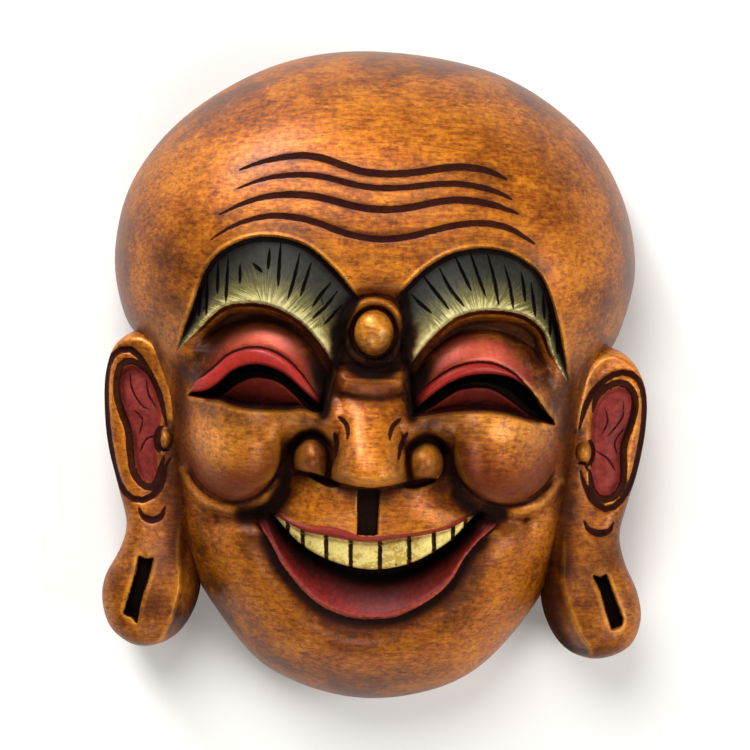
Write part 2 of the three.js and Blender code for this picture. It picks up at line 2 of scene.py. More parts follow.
# # A laughing mask in gilded wood
#
# The real mask is one block of wood. A carver roughs out the bald head and the long ears, cuts the brows, eyes and
# mouth with chisels, presses the cheeks up round with a gouge, and at the end draws the hairs and wrinkles with a
# narrow tool. A painter then lays red on the lids and lips, gold over the skin, and a dark glaze that stays in every
# cut. This file follows the same order: the forms, the cuts, the drawn lines, and then the paint, where the glaze
# and the brown washes also carry painted shade and the gold carries painted highlights.

# %% The frame
import json
import math

import bpy
import numpy as np
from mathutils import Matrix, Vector

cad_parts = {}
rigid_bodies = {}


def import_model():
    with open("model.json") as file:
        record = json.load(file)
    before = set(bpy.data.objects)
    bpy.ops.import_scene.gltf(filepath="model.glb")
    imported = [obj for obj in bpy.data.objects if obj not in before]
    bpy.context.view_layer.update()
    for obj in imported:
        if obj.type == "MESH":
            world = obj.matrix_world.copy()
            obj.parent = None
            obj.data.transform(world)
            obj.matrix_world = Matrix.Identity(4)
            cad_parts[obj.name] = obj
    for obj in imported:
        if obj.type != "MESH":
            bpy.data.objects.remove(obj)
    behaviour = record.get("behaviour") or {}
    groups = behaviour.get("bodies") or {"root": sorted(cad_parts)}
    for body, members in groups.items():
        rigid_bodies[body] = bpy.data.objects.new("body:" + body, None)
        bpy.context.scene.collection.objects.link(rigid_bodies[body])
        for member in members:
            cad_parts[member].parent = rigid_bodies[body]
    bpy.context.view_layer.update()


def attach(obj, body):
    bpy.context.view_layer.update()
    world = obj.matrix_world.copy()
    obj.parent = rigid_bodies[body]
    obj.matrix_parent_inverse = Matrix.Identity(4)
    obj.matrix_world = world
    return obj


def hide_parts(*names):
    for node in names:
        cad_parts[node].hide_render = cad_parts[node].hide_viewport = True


for thing in list(bpy.data.objects):
    bpy.data.objects.remove(thing)
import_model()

# %% [markdown]
# ## The drawing
#
# Everything is drawn from the front in millimetres, on a face 300 mm tall: x to the viewer's right, y up to the
# crown, and the height towards the viewer last. The head's outline is drawn at its own size. The features stand
# nearer the viewer than the outline does, so they look a little larger than they are, and are carved by FACE_SHARE.

# %% Sizes of the drawing
MM = 0.001
FACE_SHARE = 0.966
WIDEST = 24.0
CROWN_HIGH = 88.0
CHIN_HIGH = 62.0
HALF_ACROSS = 96.0
WALL = 13.0
RIM = 12.0
EAR_BACK = 3.0
EAR_FRONT = 44.0

CELL = 0.3
xs = np.arange(-131.0, 131.0 + CELL, CELL, dtype=np.float32)
ys = np.arange(-156.0, 156.0 + CELL, CELL, dtype=np.float32)
X, Y = np.meshgrid(xs, ys)
print("the drawing board has", X.size, "places")


# %% Small curves that the forms are built of
def mix(a, b, t):
    return a + (b - a) * t


def ramp(a, b, v):
    t = np.clip((v - a) / (b - a), 0.0, 1.0)
    return t * t * (3.0 - 2.0 * t)


def bell(q):
    return np.exp(-q * q)


def cap(q):
    return np.sqrt(np.maximum(0.0, 1.0 - q * q))


def soft_max(a, b, width):
    """The higher of two forms, running into each other over a width."""
    near = np.clip(0.5 + 0.5 * (a - b) / width, 0.0, 1.0)
    return mix(b, a, near) + width * near * (1.0 - near)


# %% [markdown]
# A carver's line is a few points joined by a smooth curve. The uniform Catmull-Rom curve passes through each of its
# points, so a line is easy to read off a drawing, and it is then walked in steps of one length.


# %% Lines
def line(points, steps=40, closed=False):
    p = np.array(points, dtype=np.float64)
    if closed:
        p = np.vstack([p[-1], p, p[0], p[1]])
    else:
        p = np.vstack([2 * p[0] - p[1], p, 2 * p[-1] - p[-2]])
    spots = []
    for a, b, c, d in zip(p, p[1:], p[2:], p[3:]):
        t = np.linspace(0.0, 1.0, 16, endpoint=False)[:, None]
        out, into = (c - a) / 2, (d - b) / 2
        spots.append(b + out * t + (3 * (c - b) - 2 * out - into) * t**2 + (2 * (b - c) + out + into) * t**3)
    spots = np.vstack([*spots, p[-2][None]])
    walked = np.r_[0.0, np.cumsum(np.hypot(*np.diff(spots, axis=0).T))]
    even = np.linspace(0.0, walked[-1], steps + 1)
    made = np.stack([np.interp(even, walked, spots[:, k]) for k in (0, 1)], axis=1)
    return made[:-1] if closed else made


def window(spots, margin, share=FACE_SHARE):
    """The part of the board round some spots, as its rows and columns."""
    low, high = (spots.min(0) - margin) * share, (spots.max(0) + margin) * share
    columns = slice(*np.searchsorted(xs, [low[0], high[0]]))
    rows = slice(*np.searchsorted(ys, [low[1], high[1]]))
    return rows, columns


def nearest(spots, x, y, closed=False):
    """How far each place is from a line, and how far along the line its nearest spot is, from 0 to 1."""
    starts = spots if closed else spots[:-1]
    ends = np.roll(spots, -1, axis=0) if closed else spots[1:]
    best = np.full(x.shape, 1e6, dtype=np.float32)
    along = np.zeros_like(best)
    for i, ((ax, ay), (bx, by)) in enumerate(zip(starts, ends)):
        ux, uy = bx - ax, by - ay
        t = np.clip(((x - ax) * ux + (y - ay) * uy) / (ux * ux + uy * uy + 1e-9), 0.0, 1.0)
        far = np.hypot(x - ax - t * ux, y - ay - t * uy)
        closer = far < best
        best[closer] = far[closer]
        along[closer] = ((i + t) / len(starts))[closer]
    return best, along


def within(spots, x, y):
    """How deep each place is inside a closed line: negative outside."""
    inside = np.zeros(x.shape, dtype=bool)
    for (ax, ay), (bx, by) in zip(spots, np.roll(spots, -1, axis=0)):
        if ay != by:
            crosses = (y < max(ay, by)) & (y >= min(ay, by))
            inside ^= crosses & (x < (bx - ax) * (y - ay) / (by - ay) + ax)
    far, _ = nearest(spots, x, y, closed=True)
    return np.where(inside, far, -far)


# %% The outline of the head and of each ear
HEAD = line(
    [
        (-5, 150), (-50, 142.5), (-90, 119), (-115, 88), (-123, 54), (-118, 25), (-106, 6), (-98, -20), (-94, -52),
        (-86, -85), (-70, -112), (-46, -137.5), (-10, -150), (25, -147.5), (54, -133), (80, -100), (91, -70),
        (95, -40), (98, -15), (103, 4), (113, 24), (119, 54), (111, 88), (90, 118), (50, 142),
    ],
    200,
    closed=True,
)
LEFT_EAR = line(
    [
        (-112, 16.5), (-121, 9.5), (-125, -3), (-125, -20), (-122.5, -38), (-117, -57), (-113, -72), (-115.5, -84),
        (-122, -97), (-123, -109), (-118, -121.5), (-106, -128.5), (-92, -125.5), (-82.5, -115), (-78, -98),
        (-82, -75), (-86, -40), (-88, -10), (-92, 6), (-101, 16.5),
    ],
    160,
    closed=True,
)
RIGHT_EAR = line(
    [
        (109, 15.5), (119, 9), (125.3, -4), (125.8, -20), (123, -39), (118, -57), (115, -71), (118, -84),
        (124, -97), (126, -110), (121, -122), (108, -127.8), (94, -125.5), (84.5, -115), (79.5, -98), (82, -75),
        (86, -40), (88, -10), (91, 6), (99, 15.5),
    ],
    160,
    closed=True,
)
print("the head is drawn in", len(HEAD), "steps and each ear in", len(LEFT_EAR))

# %% [markdown]
# ## The head before carving
#
# The outline is blown up like a pillow: steep near its edge and almost flat on the forehead. Its height depends on
# how far a place is from the outline, which is measured on a coarse board and read off smoothly.


# %% The pillow
def read(board, x, y):
    """Reads a board at any places, between its cells too."""
    i = np.clip((x - xs[0]) / CELL, 0, len(xs) - 1.001)
    j = np.clip((y - ys[0]) / CELL, 0, len(ys) - 1.001)
    a, b = i.astype(int), j.astype(int)
    s, t = i - a, j - b
    return mix(mix(board[b, a], board[b, a + 1], s), mix(board[b + 1, a], board[b + 1, a + 1], s), t)


def board_of_depth(outline):
    """How deep each place of the board is inside an outline, measured every few cells."""
    step = 4
    coarse = within(outline, X[::step, ::step], Y[::step, ::step])
    rows = np.arange(coarse.shape[0]) * step
    columns = np.arange(coarse.shape[1]) * step
    wide = np.stack([np.interp(np.arange(len(xs)), columns, row) for row in coarse])
    return np.stack([np.interp(np.arange(len(ys)), rows, column) for column in wide.T], axis=1).astype(np.float32)


def depth_inside(outline, board, x, y):
    """The same for any places, exact near the outline, where the forms are steep."""
    depth = read(board, x, y)
    close = np.abs(depth) < 4.0
    depth[close] = within(outline, x[close], y[close])
    return np.maximum(depth, 0.0)


def dome(y, depth):
    full = mix(CHIN_HIGH, CROWN_HIGH, ramp(-150.0, 55.0, y))
    edge = 1.0 - np.clip(depth / HALF_ACROSS, 0.0, 1.0)
    return full * (1.0 - edge**2.3) ** 0.52


head_depth = board_of_depth(HEAD)
print("the pillow is deepest", round(float(head_depth.max()), 1), "mm inside the outline")

# %% [markdown]
# ## Carving on a board
#
# All the carving is a height over or under that pillow, kept on one board with a value every 0.3 mm, as a carver
# would plan a relief. Each form or cut changes only its own part of the board. Beside the height there is a board
# for each paint, which holds how deep a place is inside the painted shape, in millimetres. A sharp edge can then be
# drawn anywhere between two points of the mesh, as long as the number runs evenly across it.

# %% The boards
U, V = X / FACE_SHARE, Y / FACE_SHARE
relief = np.zeros_like(X)
OFF = -8.0
PAINTS = ("ink", "slate", "brow", "rim", "under", "lip", "upper_lip", "teeth", "gullet", "shell")
# The glaze, umber and maroon washes are partly painted shade, and the gilt and the lid's light wash partly painted
# highlights.
WASHES = ("brow_fall", "brow_run", "lid", "lid_highlight", "lip_rise", "glaze", "umber_and_shade", "maroon_and_shade", "gilt_and_highlight")


def blank_boards():
    made = {name: np.full(X.shape, OFF, dtype=np.float32) for name in PAINTS}
    made.update({name: np.zeros_like(X) for name in WASHES})
    return made


face_paint, ear_paint = blank_boards(), blank_boards()


def lay(name, place, amount, on=None):
    """Adds a shape to a paint's board: the depth inside the shape, or the strength of a soft wash."""
    board = (on or face_paint)[name]
    board[place] = np.maximum(board[place], amount)


# %% The lines of the face
EYES = [
    {
        "brow": [(-10, 36), (-20, 47.5), (-33, 58), (-46, 62), (-60, 61.5), (-73, 55.5), (-81, 46), (-87, 28), (-94, 8.5)],
        "edge": [(-20, 4), (-25, 12), (-33.5, 21.5), (-42.5, 27.5), (-52.5, 31), (-62.5, 31.3), (-71, 29.8), (-78, 24.6),
                 (-85, 17), (-94, 8)],
        "upper": [(-24, -17.5), (-35, -7.5), (-43, -1), (-52, 2.4), (-60, 2.4), (-67.5, -0.8), (-74, -6.8),
                  (-80, -10.4), (-87, -11.6)],
        "lower": [(-24.5, -18.6), (-29, -17.8), (-33, -15.4), (-37.5, -10.8), (-44, -5.6), (-51.5, -3.3), (-58.5, -3.5),
                  (-65.5, -7), (-71.5, -11.7), (-77, -12.8), (-87, -12.2)],
        "foot": [(-23.5, -19), (-33, -16.4), (-42, -17.3), (-55, -17.3), (-65, -16.3), (-72.5, -13.9), (-79, -13.6),
                 (-88, -12.6)],
        "crease": [(-24, 1), (-29, 11), (-35, 17.5), (-43, 22), (-53, 24), (-62, 22.8), (-72, 17.8), (-80, 8), (-87, 1)],
        "fold": [(-26.3, -11.3), (-34.4, -0.9), (-41.7, 5.9), (-49, 9.7), (-56.1, 10.9), (-63.2, 9.8), (-70.2, 6.5),
                 (-77.1, -0.1), (-84.3, -5.6)],
        "ball": (-55, -7, 36, 31),
        # Where the lid's painted highlight lies.
        "shine": (-57, 15.5, 15, 7),
    },
    {
        "brow": [(10, 38), (20, 48.5), (32, 56.5), (46, 60), (58, 59), (68, 54.5), (77, 46), (84, 28), (91.5, -2)],
        "edge": [(15, 4), (20, 11), (25.5, 18), (35, 26.8), (45, 30.7), (57.5, 31.5), (69, 29.3), (77.8, 22.5),
                 (82.5, 11.5), (91.5, -2.5)],
        "upper": [(18, -17), (26, -9.2), (35, -2.6), (45, 1), (56, 1.6), (64.5, -0.3), (71.5, -5.4), (77, -12),
                  (84, -19.5)],
        "lower": [(18.5, -18.3), (23, -16.8), (30, -12), (37.5, -6.6), (45, -4.7), (52, -4.6), (59, -7.3), (66, -12),
                  (74, -17.3), (84, -20.2)],
        "foot": [(17.5, -19), (25, -17.7), (38, -15.6), (52, -14.8), (62, -15.8), (71, -18), (77, -19.3), (85, -21)],
        "crease": [(17.5, 0), (22, 10), (29, 17.5), (38, 22.5), (48, 24.6), (57, 23.5), (66, 18), (74, 8), (82, -3)],
        "fold": [(19.1, -9.9), (26, -2.6), (34.4, 3.4), (42.8, 6.5), (51.3, 7.2), (58.5, 5.5), (65.7, 1.5), (73, -6.1),
                 (80.4, -14.4)],
        "ball": (50, -9, 35, 31),
        # Where the lid's painted highlight lies.
        "shine": (50, 13, 15, 7),
    },
]
CHEEKS = [(-66, -37, 23.5, 25.5), (63, -34, 26, 26)]
MOUTH = {
    "red": [(-46, -64.6), (-38, -69.2), (-28.7, -71.8), (-20.6, -71.9), (-12.4, -73.3), (-5.3, -75.8), (2.3, -75.8),
            (8.6, -74.9), (20.2, -73.4), (31.8, -71), (39.8, -67.4), (49.5, -61.8)],
    "lip": [(-46, -66.8), (-38, -71.6), (-31, -74.8), (-21.6, -76.5), (-10, -78.2), (1.8, -78.8), (11, -77), (20.3, -75.5),
            (31.8, -72.9), (40, -69.7), (49.5, -62.8)],
    "teeth": [(-46, -67.6), (-39.1, -75.4), (-31.9, -81.8), (-21.2, -87.5), (-8.3, -91.2), (4.5, -91.8), (18.4, -88.8),
              (29.8, -82.8), (38.9, -76), (44.5, -69.8), (49.5, -63.6)],
    "dark": [(-54, -68.8), (-50, -67.2), (-46, -67.6), (-39.1, -75.4), (-31.9, -81.8), (-21.2, -87.5), (-8.3, -91.2),
             (4.5, -91.8), (18.4, -88.8), (29.8, -82.8), (38.9, -76), (44.5, -69.8), (49.5, -63.6), (54, -64.2), (59, -67.6)],
    "inner": [(-54, -69), (-49.5, -68.4), (-45.5, -70.6), (-38.5, -78.4), (-31, -85.2), (-20.5, -91.6), (-8, -96),
              (5, -97), (19, -93.8), (30.5, -87), (39.8, -79.6), (45.5, -72.4), (50.5, -66.4), (59, -68)],
    "outer": [(-54, -69.4), (-47, -80.6), (-39.7, -93.1), (-25.2, -107.8), (-9.9, -114.3), (5.2, -114.9), (19.1, -111.1),
              (36.1, -98.9), (46.1, -82.3), (59, -68.4)],
}
print(len(EYES), "eyes,", len(CHEEKS), "cheeks and a mouth of", len(MOUTH), "lines")

# %% [markdown]
# ### Swellings and hollows
#
# First come the forms that run into each other without an edge: the sunk bridge between the eyes, the deep folds
# beside the nose, the ridge over the brows, the muzzle over the upper lip, and the chin.

# %% Soft forms
SMILE_FOLDS = [
    [(-38, -36), (-40, -46), (-42, -56), (-48, -65), (-60, -68), (-72, -71)],
    [(35, -36), (37.5, -46), (41, -55), (49, -62), (60, -64), (72, -67)],
]
JOWL = [(-66, -74), (-61, -92), (-47, -109), (-27, -121), (-3, -126), (24, -121), (46, -108), (62, -88), (68, -72)]


def swell(points, high, wide, reach=2.4, closed=False):
    """Raises or sinks a soft ridge along a line."""
    spots = line(points, 24, closed)
    place = window(spots, wide * reach)
    far, _ = nearest(spots, U[place], V[place])
    relief[place] += high * bell(far / wide)


def wash(name, points, strength, wide, share=FACE_SHARE):
    """A soft band of a wash along a line."""
    spots = line(points, 24)
    place = window(spots, wide * 2.4, share)
    far, _ = nearest(spots, X[place] / share, Y[place] / share)
    lay(name, place, strength * bell(far / wide), face_paint if share == FACE_SHARE else ear_paint)


relief += -6.0 * ramp(24, 16, abs(U + 2)) * ramp(42, 33, V) * ramp(-22, -8, V)
relief += -9.0 * bell((V + 44) / 16) * (bell((U + 37) / 9) + bell((U - 33) / 9))
relief += 5.0 * bell(np.hypot((U + 2) / 24, (V + 24) / 11))
relief += 4.0 * bell(np.hypot(U / 36, (V + 64) / 12)) + 4.0 * bell(np.hypot(U / 34, (V + 130) / 16))
for fold in SMILE_FOLDS:
    swell(fold, -6.0, 6.0)
    # Glaze and umber along each fold: painted shade in the crease, partly the mask's brown.
    wash("glaze", fold[:3], 0.95, 6.5)
    wash("glaze", fold[2:5], 1.15, 6.5)
    wash("umber_and_shade", fold[:5], 1.0, 12.0)
    wash("umber_and_shade", [(x * 0.86, y + 20) for x, y in fold[:3]], 0.95, 11.0)
swell(JOWL, 1.5, 13.0)
for eye in EYES:
    swell(eye["edge"], 4.5, 11.0)
swell(MOUTH["outer"], -4.0, 8.0)
print("soft forms run from", round(float(relief.min()), 1), "to", round(float(relief.max()), 1), "mm")

# %% [markdown]
# ### Cheeks
#
# Laughter pushes each cheek into a ball. A dark cut runs round its lower side, and a narrow fold of skin stands
# outside the cut. Half an ellipsoid pressed into the face gives the ball, and the higher of the two surfaces wins.


# %% Cheek balls and the folds round them
def press_ball(x, y, rx, ry, low, high, width=0.6, foot=None, loose_top=0.0):
    """A ball pressed into the face: low is the height of its middle plane, high its rise over that."""
    spots = np.array([(x - rx, y - ry), (x + rx, y + ry)])
    place = window(spots, 2.0 + loose_top)
    q = np.hypot((U[place] - x) / rx, (V[place] - y) / ry)
    ball = np.where(q < 1.0, low + high * cap(q), low - 3.0 * high * (q - 1.0))
    if foot is not None:
        ball = np.where(V[place] < foot(U[place]), -99.0, ball)
    if loose_top:
        width = mix(width, loose_top, ramp(y - 0.55 * ry, y + 0.3 * ry, V[place]))
    relief[place] = soft_max(ball.astype(np.float32), relief[place], width)


def around(x, y, rx, ry, start, end, grow=1.0, steps=12):
    """Points of an arc round an ellipse, between two angles in degrees, anticlockwise from the right."""
    turns = np.radians(np.linspace(start, end, steps))
    return [(x + rx * grow * math.cos(a), y + ry * grow * math.sin(a)) for a in turns]


CHEEK_ARCS = [(203, 352), (188, 332)]
# Where a painted highlight lies on each cheek.
CHEEK_HIGHLIGHTS = [(-71, -34, 14, 9), (61, -22, 17, 8)]
for (x, y, rx, ry), (start, end), (sx, sy, srx, sry) in zip(CHEEKS, CHEEK_ARCS, CHEEK_HIGHLIGHTS):
    fold = around(x, y, rx, ry, start, end, grow=1.15)
    swell(fold, 2.6, 2.8)
    # Umber outside the fold is partly painted shade, and gilt on its crest a rubbed edge that is partly a painted
    # highlight.
    wash("umber_and_shade", fold, 0.6, 6.0)
    wash("gilt_and_highlight", fold[2:-2], 0.5, 1.6)
    place = window(np.array([(x - rx, y - ry), (x + rx, y + ry)]), 20.0)
    mound = bell(np.hypot((U[place] - x) / (1.2 * rx), (V[place] - y - 5) / (1.1 * ry)))
    relief[place] += 8.5 * mound * ramp(y - 14, y + 8, V[place]) * ramp(24, 32, np.abs(U[place]))
    press_ball(x, y, rx, ry, -6.0, 18.0, loose_top=12.0)
    place = window(np.array([(x - rx, y - ry), (x + rx, y + ry)]), 8.0)
    q = np.hypot((U[place] - x) / rx, (V[place] - y) / ry)
    # Maroon on the lower half of the ball, darker towards its bottom: the cheek's own red-brown with painted shade.
    lay("maroon_and_shade", place, ramp(1.02, 0.9, q) * ramp(y + 6, y - 18, V[place] - 0.3 * abs(U[place] - x)))
    turn = np.degrees(np.arctan2(V[place] - y, U[place] - x)) % 360
    on_arc = ramp(start - 12, start + 10, turn) * ramp(end + 12, end - 10, turn)
    # Glaze along the cut under the ball: painted shade in the cut.
    lay("glaze", place, 0.95 * bell((q - 1.0) / 0.07) * on_arc)
    # A gilt patch on the ball: a painted highlight.
    lay("gilt_and_highlight", place, 0.9 * bell(np.hypot((U[place] - sx) / srx, (V[place] - sy) / sry)))
print("cheeks rise", round(float(relief.max()), 1), "mm over the pillow")

# %% [markdown]
# ### Brows, sockets and lids
#
# Each eye is one cut between lines that all run out from the nose to the temple. Between two lines a place has two
# numbers: its share of the way across, and its share along. The brow is a fan that slopes up across its width, the
# ledge under it drops into the socket, the lid swells out of the socket as a ball, and the lower lid lies in a
# shallow trough over the cheek. All of it runs out shallow at the temple.


# %% The strip between two lines
def strip(first, second, steps=60, margin=3.0):
    """Where a strip is, how deep inside it each place lies, and the shares across and along it."""
    a, b = line(first, steps), line(second, steps)
    outline = np.vstack([a, b[::-1]])
    place = window(outline, margin)
    x, y = U[place], V[place]
    from_first, along = nearest(a, x, y)
    from_second, _ = nearest(b, x, y)
    across = from_first / (from_first + from_second + 1e-6)
    return place, within(outline, x, y), across, along


def run_out(along):
    return mix(0.3, 1.0, ramp(1.0, 0.75, along))


def carve(place, depth, height, share=1.0):
    """Brings the face to a height inside a shape, wholly or by a share."""
    part = relief[place]
    part[depth > 0] = mix(part, height, share)[depth > 0]


# %% Carve both eyes
for eye in EYES:
    place, depth, across, along = strip(eye["brow"], eye["edge"])
    carve(place, depth, (-6.0 + 10.0 * across**1.4) * run_out(along), ramp(1.0, 0.86, along))
    lay("brow", place, depth)
    lay("brow_fall", place, np.where(depth > -1.0, across, 0.0))
    lay("brow_run", place, np.where(depth > -1.0, along, 0.0))
    wash("umber_and_shade", [(x, y + 4.5) for x, y in eye["brow"][1:7]], 0.8, 4.0)

    place, depth, across, along = strip(eye["edge"], eye["upper"])
    x, y, rx, ry = eye["ball"]
    from_edge, _ = nearest(line(eye["edge"]), U[place], V[place])
    ledge = -5.0 - 8.0 * ramp(0.0, 6.0, from_edge)
    ball = -15.0 + 15.5 * cap(np.hypot((U[place] - x) / rx, (V[place] - y) / ry))
    carve(place, depth, soft_max(ledge, ball, 1.5) * run_out(along), ramp(1.0, 0.8, along))
    # Glaze at the socket's inner corner and in an arc under the brow's edge, and umber on the ledge under the brow:
    # painted shade in the socket, partly the glaze of the cut.
    inner_corner = 0.9 * ramp(33, 22, np.abs(U[place] + 2.5))
    lay("glaze", place, np.where(depth > 0, inner_corner + 0.4 * bell((from_edge - 8.5) / 3.0), 0.0))
    lay("umber_and_shade", place, np.where(depth > 0, 0.75 * ramp(1.5, 7.0, from_edge) + 0.45, 0.0))

    place, depth, across, along = strip(eye["crease"], eye["upper"])
    red = ramp(1.0, 11.0, depth + 6.0 * ramp(0.35, 0.8, across)) * ramp(1.0, 0.86, along) * ramp(23, 34, np.abs(U[place] + 2.5))
    lay("lid", place, np.where(depth > 0, red, 0.0))
    lx, ly, lrx, lry = eye["shine"]
    # A lighter patch on the lid: a painted highlight.
    lay("lid_highlight", place, bell(np.hypot((U[place] - lx) / lrx, (V[place] - ly) / lry)))
    swell(eye["crease"], -0.8, 2.2)
    # Glaze along the crease: painted shade.
    wash("glaze", eye["crease"][:7], 0.75, 2.6)
    place, depth, across, along = strip(eye["fold"], eye["upper"])
    lay("rim", place, depth)
    part = relief[place]
    part += np.where(depth > 0, 1.8 * np.sqrt(np.clip(4 * across * (1 - across), 0, 1)), 0.0)

    place, depth, across, along = strip(eye["lower"], eye["foot"])
    carve(place, depth, (-3.5 - 5.0 * across) * run_out(along))
    lay("under", place, depth + 0.6)
    # Glaze and umber under the lower lid's foot: painted shadow under the lid.
    wash("glaze", [(x, y - 0.8) for x, y in eye["foot"][:-1]], 0.85, 1.9)
    wash("umber_and_shade", [(x, y - 5.0) for x, y in eye["foot"][:-1]], 0.9, 8.5)
    place, depth, across, along = strip(eye["upper"], eye["lower"])
    carve(place, depth, np.full(depth.shape, -9.0, dtype=np.float32))
    # The whole slit is painted black, also its lower part, which is not cut through: black paint and painted shade in
    # the slit.
    lay("gullet", place, depth + 0.2)
    swell(eye["brow"][:8], 1.1, 1.0)
print("sockets go down", round(float(-relief.min()), 1), "mm under the pillow")

# %% [markdown]
# ### Nose, bead and the roll between them
#
# The nose is a half-round wedge that widens and rises to a blunt tip, and is cut off square below. A wing stands on
# each side of it, behind a deep arched cut. Above the nose lie a short roll of skin and the round bead of the
# forehead in its ring.


# %% Nose
NOSE_X, NOSE_TOP, NOSE_TIP = -1.5, -9.0, -52.0
NOSE_NARROW, NOSE_WIDE, NOSE_HIGH = 13.5, 18.5, 26.0
NOSE_FOOT = [(-38, -45.3), (-26.6, -47.2), (-17.5, -50.2), (-8, -52.2), (0, -52.7), (8.4, -51.5), (17.4, -49.1),
             (26.4, -47.5), (36, -48.8)]
WINGS = [(-28.4, -40.6, 9.2, 10.8), (24.2, -40.6, 9.0, 10.6)]
WING_ARCHES = [
    [(-20.3, -48), (-20.8, -40), (-22.6, -33.5), (-27.5, -29.3), (-33, -30.4), (-37.5, -35)],
    [(16.5, -48), (16.6, -39), (18.4, -33), (23.5, -29.6), (29.5, -30.6), (33.5, -35)],
]
NOSTRILS = [
    [(-30.5, -46.7), (-26, -47.4), (-20, -49.6), (-15, -51.7), (-20, -53), (-25, -51), (-29, -48.8)],
    [(30, -47.9), (24, -48.1), (19, -49), (14, -51.3), (19, -52.6), (25, -51), (28.5, -49.4)],
]


def foot_at(x):
    return np.interp(x, *zip(*NOSE_FOOT))


place = window(np.array([(-24.0, -56.0), (21.0, -4.0)]), 2.0)
x, y = U[place] - NOSE_X, V[place]
t = np.clip((NOSE_TOP - y) / (NOSE_TOP - NOSE_TIP), -0.05, 1.2)
half = mix(NOSE_NARROW, NOSE_WIDE, ramp(0.0, 0.9, t))
side = np.abs(x) / half
under = ramp(6.0, 0.0, y - foot_at(U[place]))
rise = 1.0 + NOSE_HIGH * ramp(-0.1, 0.92, t) ** 0.9 - 7.0 * under**2
nose = -4.0 + (rise + 2.0) * np.maximum(0.0, 1.0 - side**2.6) ** 0.62 * np.sqrt(ramp(-0.08, 0.12, t)) - 30.0 * np.maximum(0.0, side - 1.0)
nose = np.where(y > foot_at(U[place]), nose, -99.0)
for arch in WING_ARCHES:
    swell(arch, -4.5, 2.4)
    # Glaze and umber along each arch: painted shade in and beside the cut.
    wash("glaze", arch[:3], 0.9, 2.0)
    wash("glaze", arch[2:], 1.15, 4.2)
    wash("umber_and_shade", arch, 1.0, 10.0)
relief[place] = soft_max(nose.astype(np.float32), relief[place], mix(4.5, 0.9, ramp(0.15, 0.6, t)))
# Darker sides of the nose: painted shade.
lay("glaze", place, 0.5 * ramp(0.8, 1.0, side) * ramp(1.3, 1.0, side) * ramp(0.35, 0.65, t))
# A lighter middle on the nose: a painted highlight.
lay("gilt_and_highlight", place, 0.2 * bell(side / 0.62) * ramp(0.12, 0.45, t) * ramp(-1.0, 2.0, y - foot_at(U[place])))
for x, y, rx, ry in WINGS:
    press_ball(x, y, rx, ry, -9.0, 18.0, width=2.0, foot=foot_at)
    place = window(np.array([(x - rx, y - ry), (x + rx, y + ry)]), 2.0)
    q = np.hypot((U[place] - x) / rx, (V[place] - y) / ry)
    lay("maroon_and_shade", place, 0.55 * ramp(1.1, 0.9, q))
    # Glaze round the lower half of each wing: painted shade under the wing.
    lay("glaze", place, 0.8 * ramp(0.55, 1.0, q) * ramp(1.25, 1.0, q) * ramp(y - 9, y - 2, V[place]))
for nostril in NOSTRILS:
    spots = line(nostril, 24, closed=True)
    place = window(spots, 3.0)
    depth = within(spots, U[place], V[place])
    relief[place] -= 6.0 * ramp(-0.4, 1.2, depth)
    lay("ink", place, depth + 0.3)
# Glaze and umber under the nose's foot: painted shadow under the nose.
wash("glaze", [(x, y - 1.8) for x, y in NOSE_FOOT[1:-1]], 0.95, 2.2)
wash("umber_and_shade", [(x, y - 4.0) for x, y in NOSE_FOOT], 0.8, 5.0)
print("the nose stands", round(float(relief.max()), 1), "mm over the pillow")

# %% Bead, ring and roll
BEAD = (-1.5, 19.3, 9.2, 10.8)
RING, RING_HALF = 13.2, 2.4
bx, by, brx, bry = BEAD
place = window(np.array([(bx - 24, by - 24), (bx + 24, by + 24)]), 1.0)
out = np.hypot(U[place] - bx, (V[place] - by) / 1.1)
above = ramp(by - 4, by + 8, V[place])
ring = np.where(np.abs(out - RING) < RING_HALF, -6.0 + mix(3.0, 5.5, above) * cap((out - RING) / RING_HALF), -99.0)
relief[place] = np.maximum(relief[place] - 2.5 * bell(out / 15), ring)
# Glaze in the groove round the bead, over the ring and round it, and umber beyond: painted shade, lighter towards the
# top.
lay("glaze", place, 0.85 * bell((out - 11.0) / 1.6))
lay("glaze", place, mix(1.1, 0.6, above) * ramp(10.6, 11.4, out) * ramp(16.6, 15.4, out))
lay("glaze", place, bell((out - 17.5) / 4.4) * mix(1.15, 0.62, above))
lay("umber_and_shade", place, mix(1.0, 0.7, above) * ramp(26.0, 15.0, out))
# Gilt on the ring's top arc and on the bead's middle: painted highlights.
lay("gilt_and_highlight", place, bell((out - RING - 0.4) / 0.8) * ramp(by + 2, by + 11, V[place]))
press_ball(bx, by, brx, bry, -4.0, 10.0)
lay("gilt_and_highlight", place, 0.8 * ramp(9.5, 5.0, out))
place = window(np.array([(-30.0, -20.0), (26.0, 14.0)]), 4.0)
across_bridge = ramp(24, 14, np.abs(U[place] + 2.4))
relief[place] += 4.2 * bell((V[place] + 3.4) / 6.0) * across_bridge
lay("maroon_and_shade", place, 0.95 * bell((V[place] + 2.5) / 5.5) * across_bridge)
swell([(-19, 3.6), (-8, 3.0), (4, 3.2), (14, 4.4)], -2.6, 2.4)
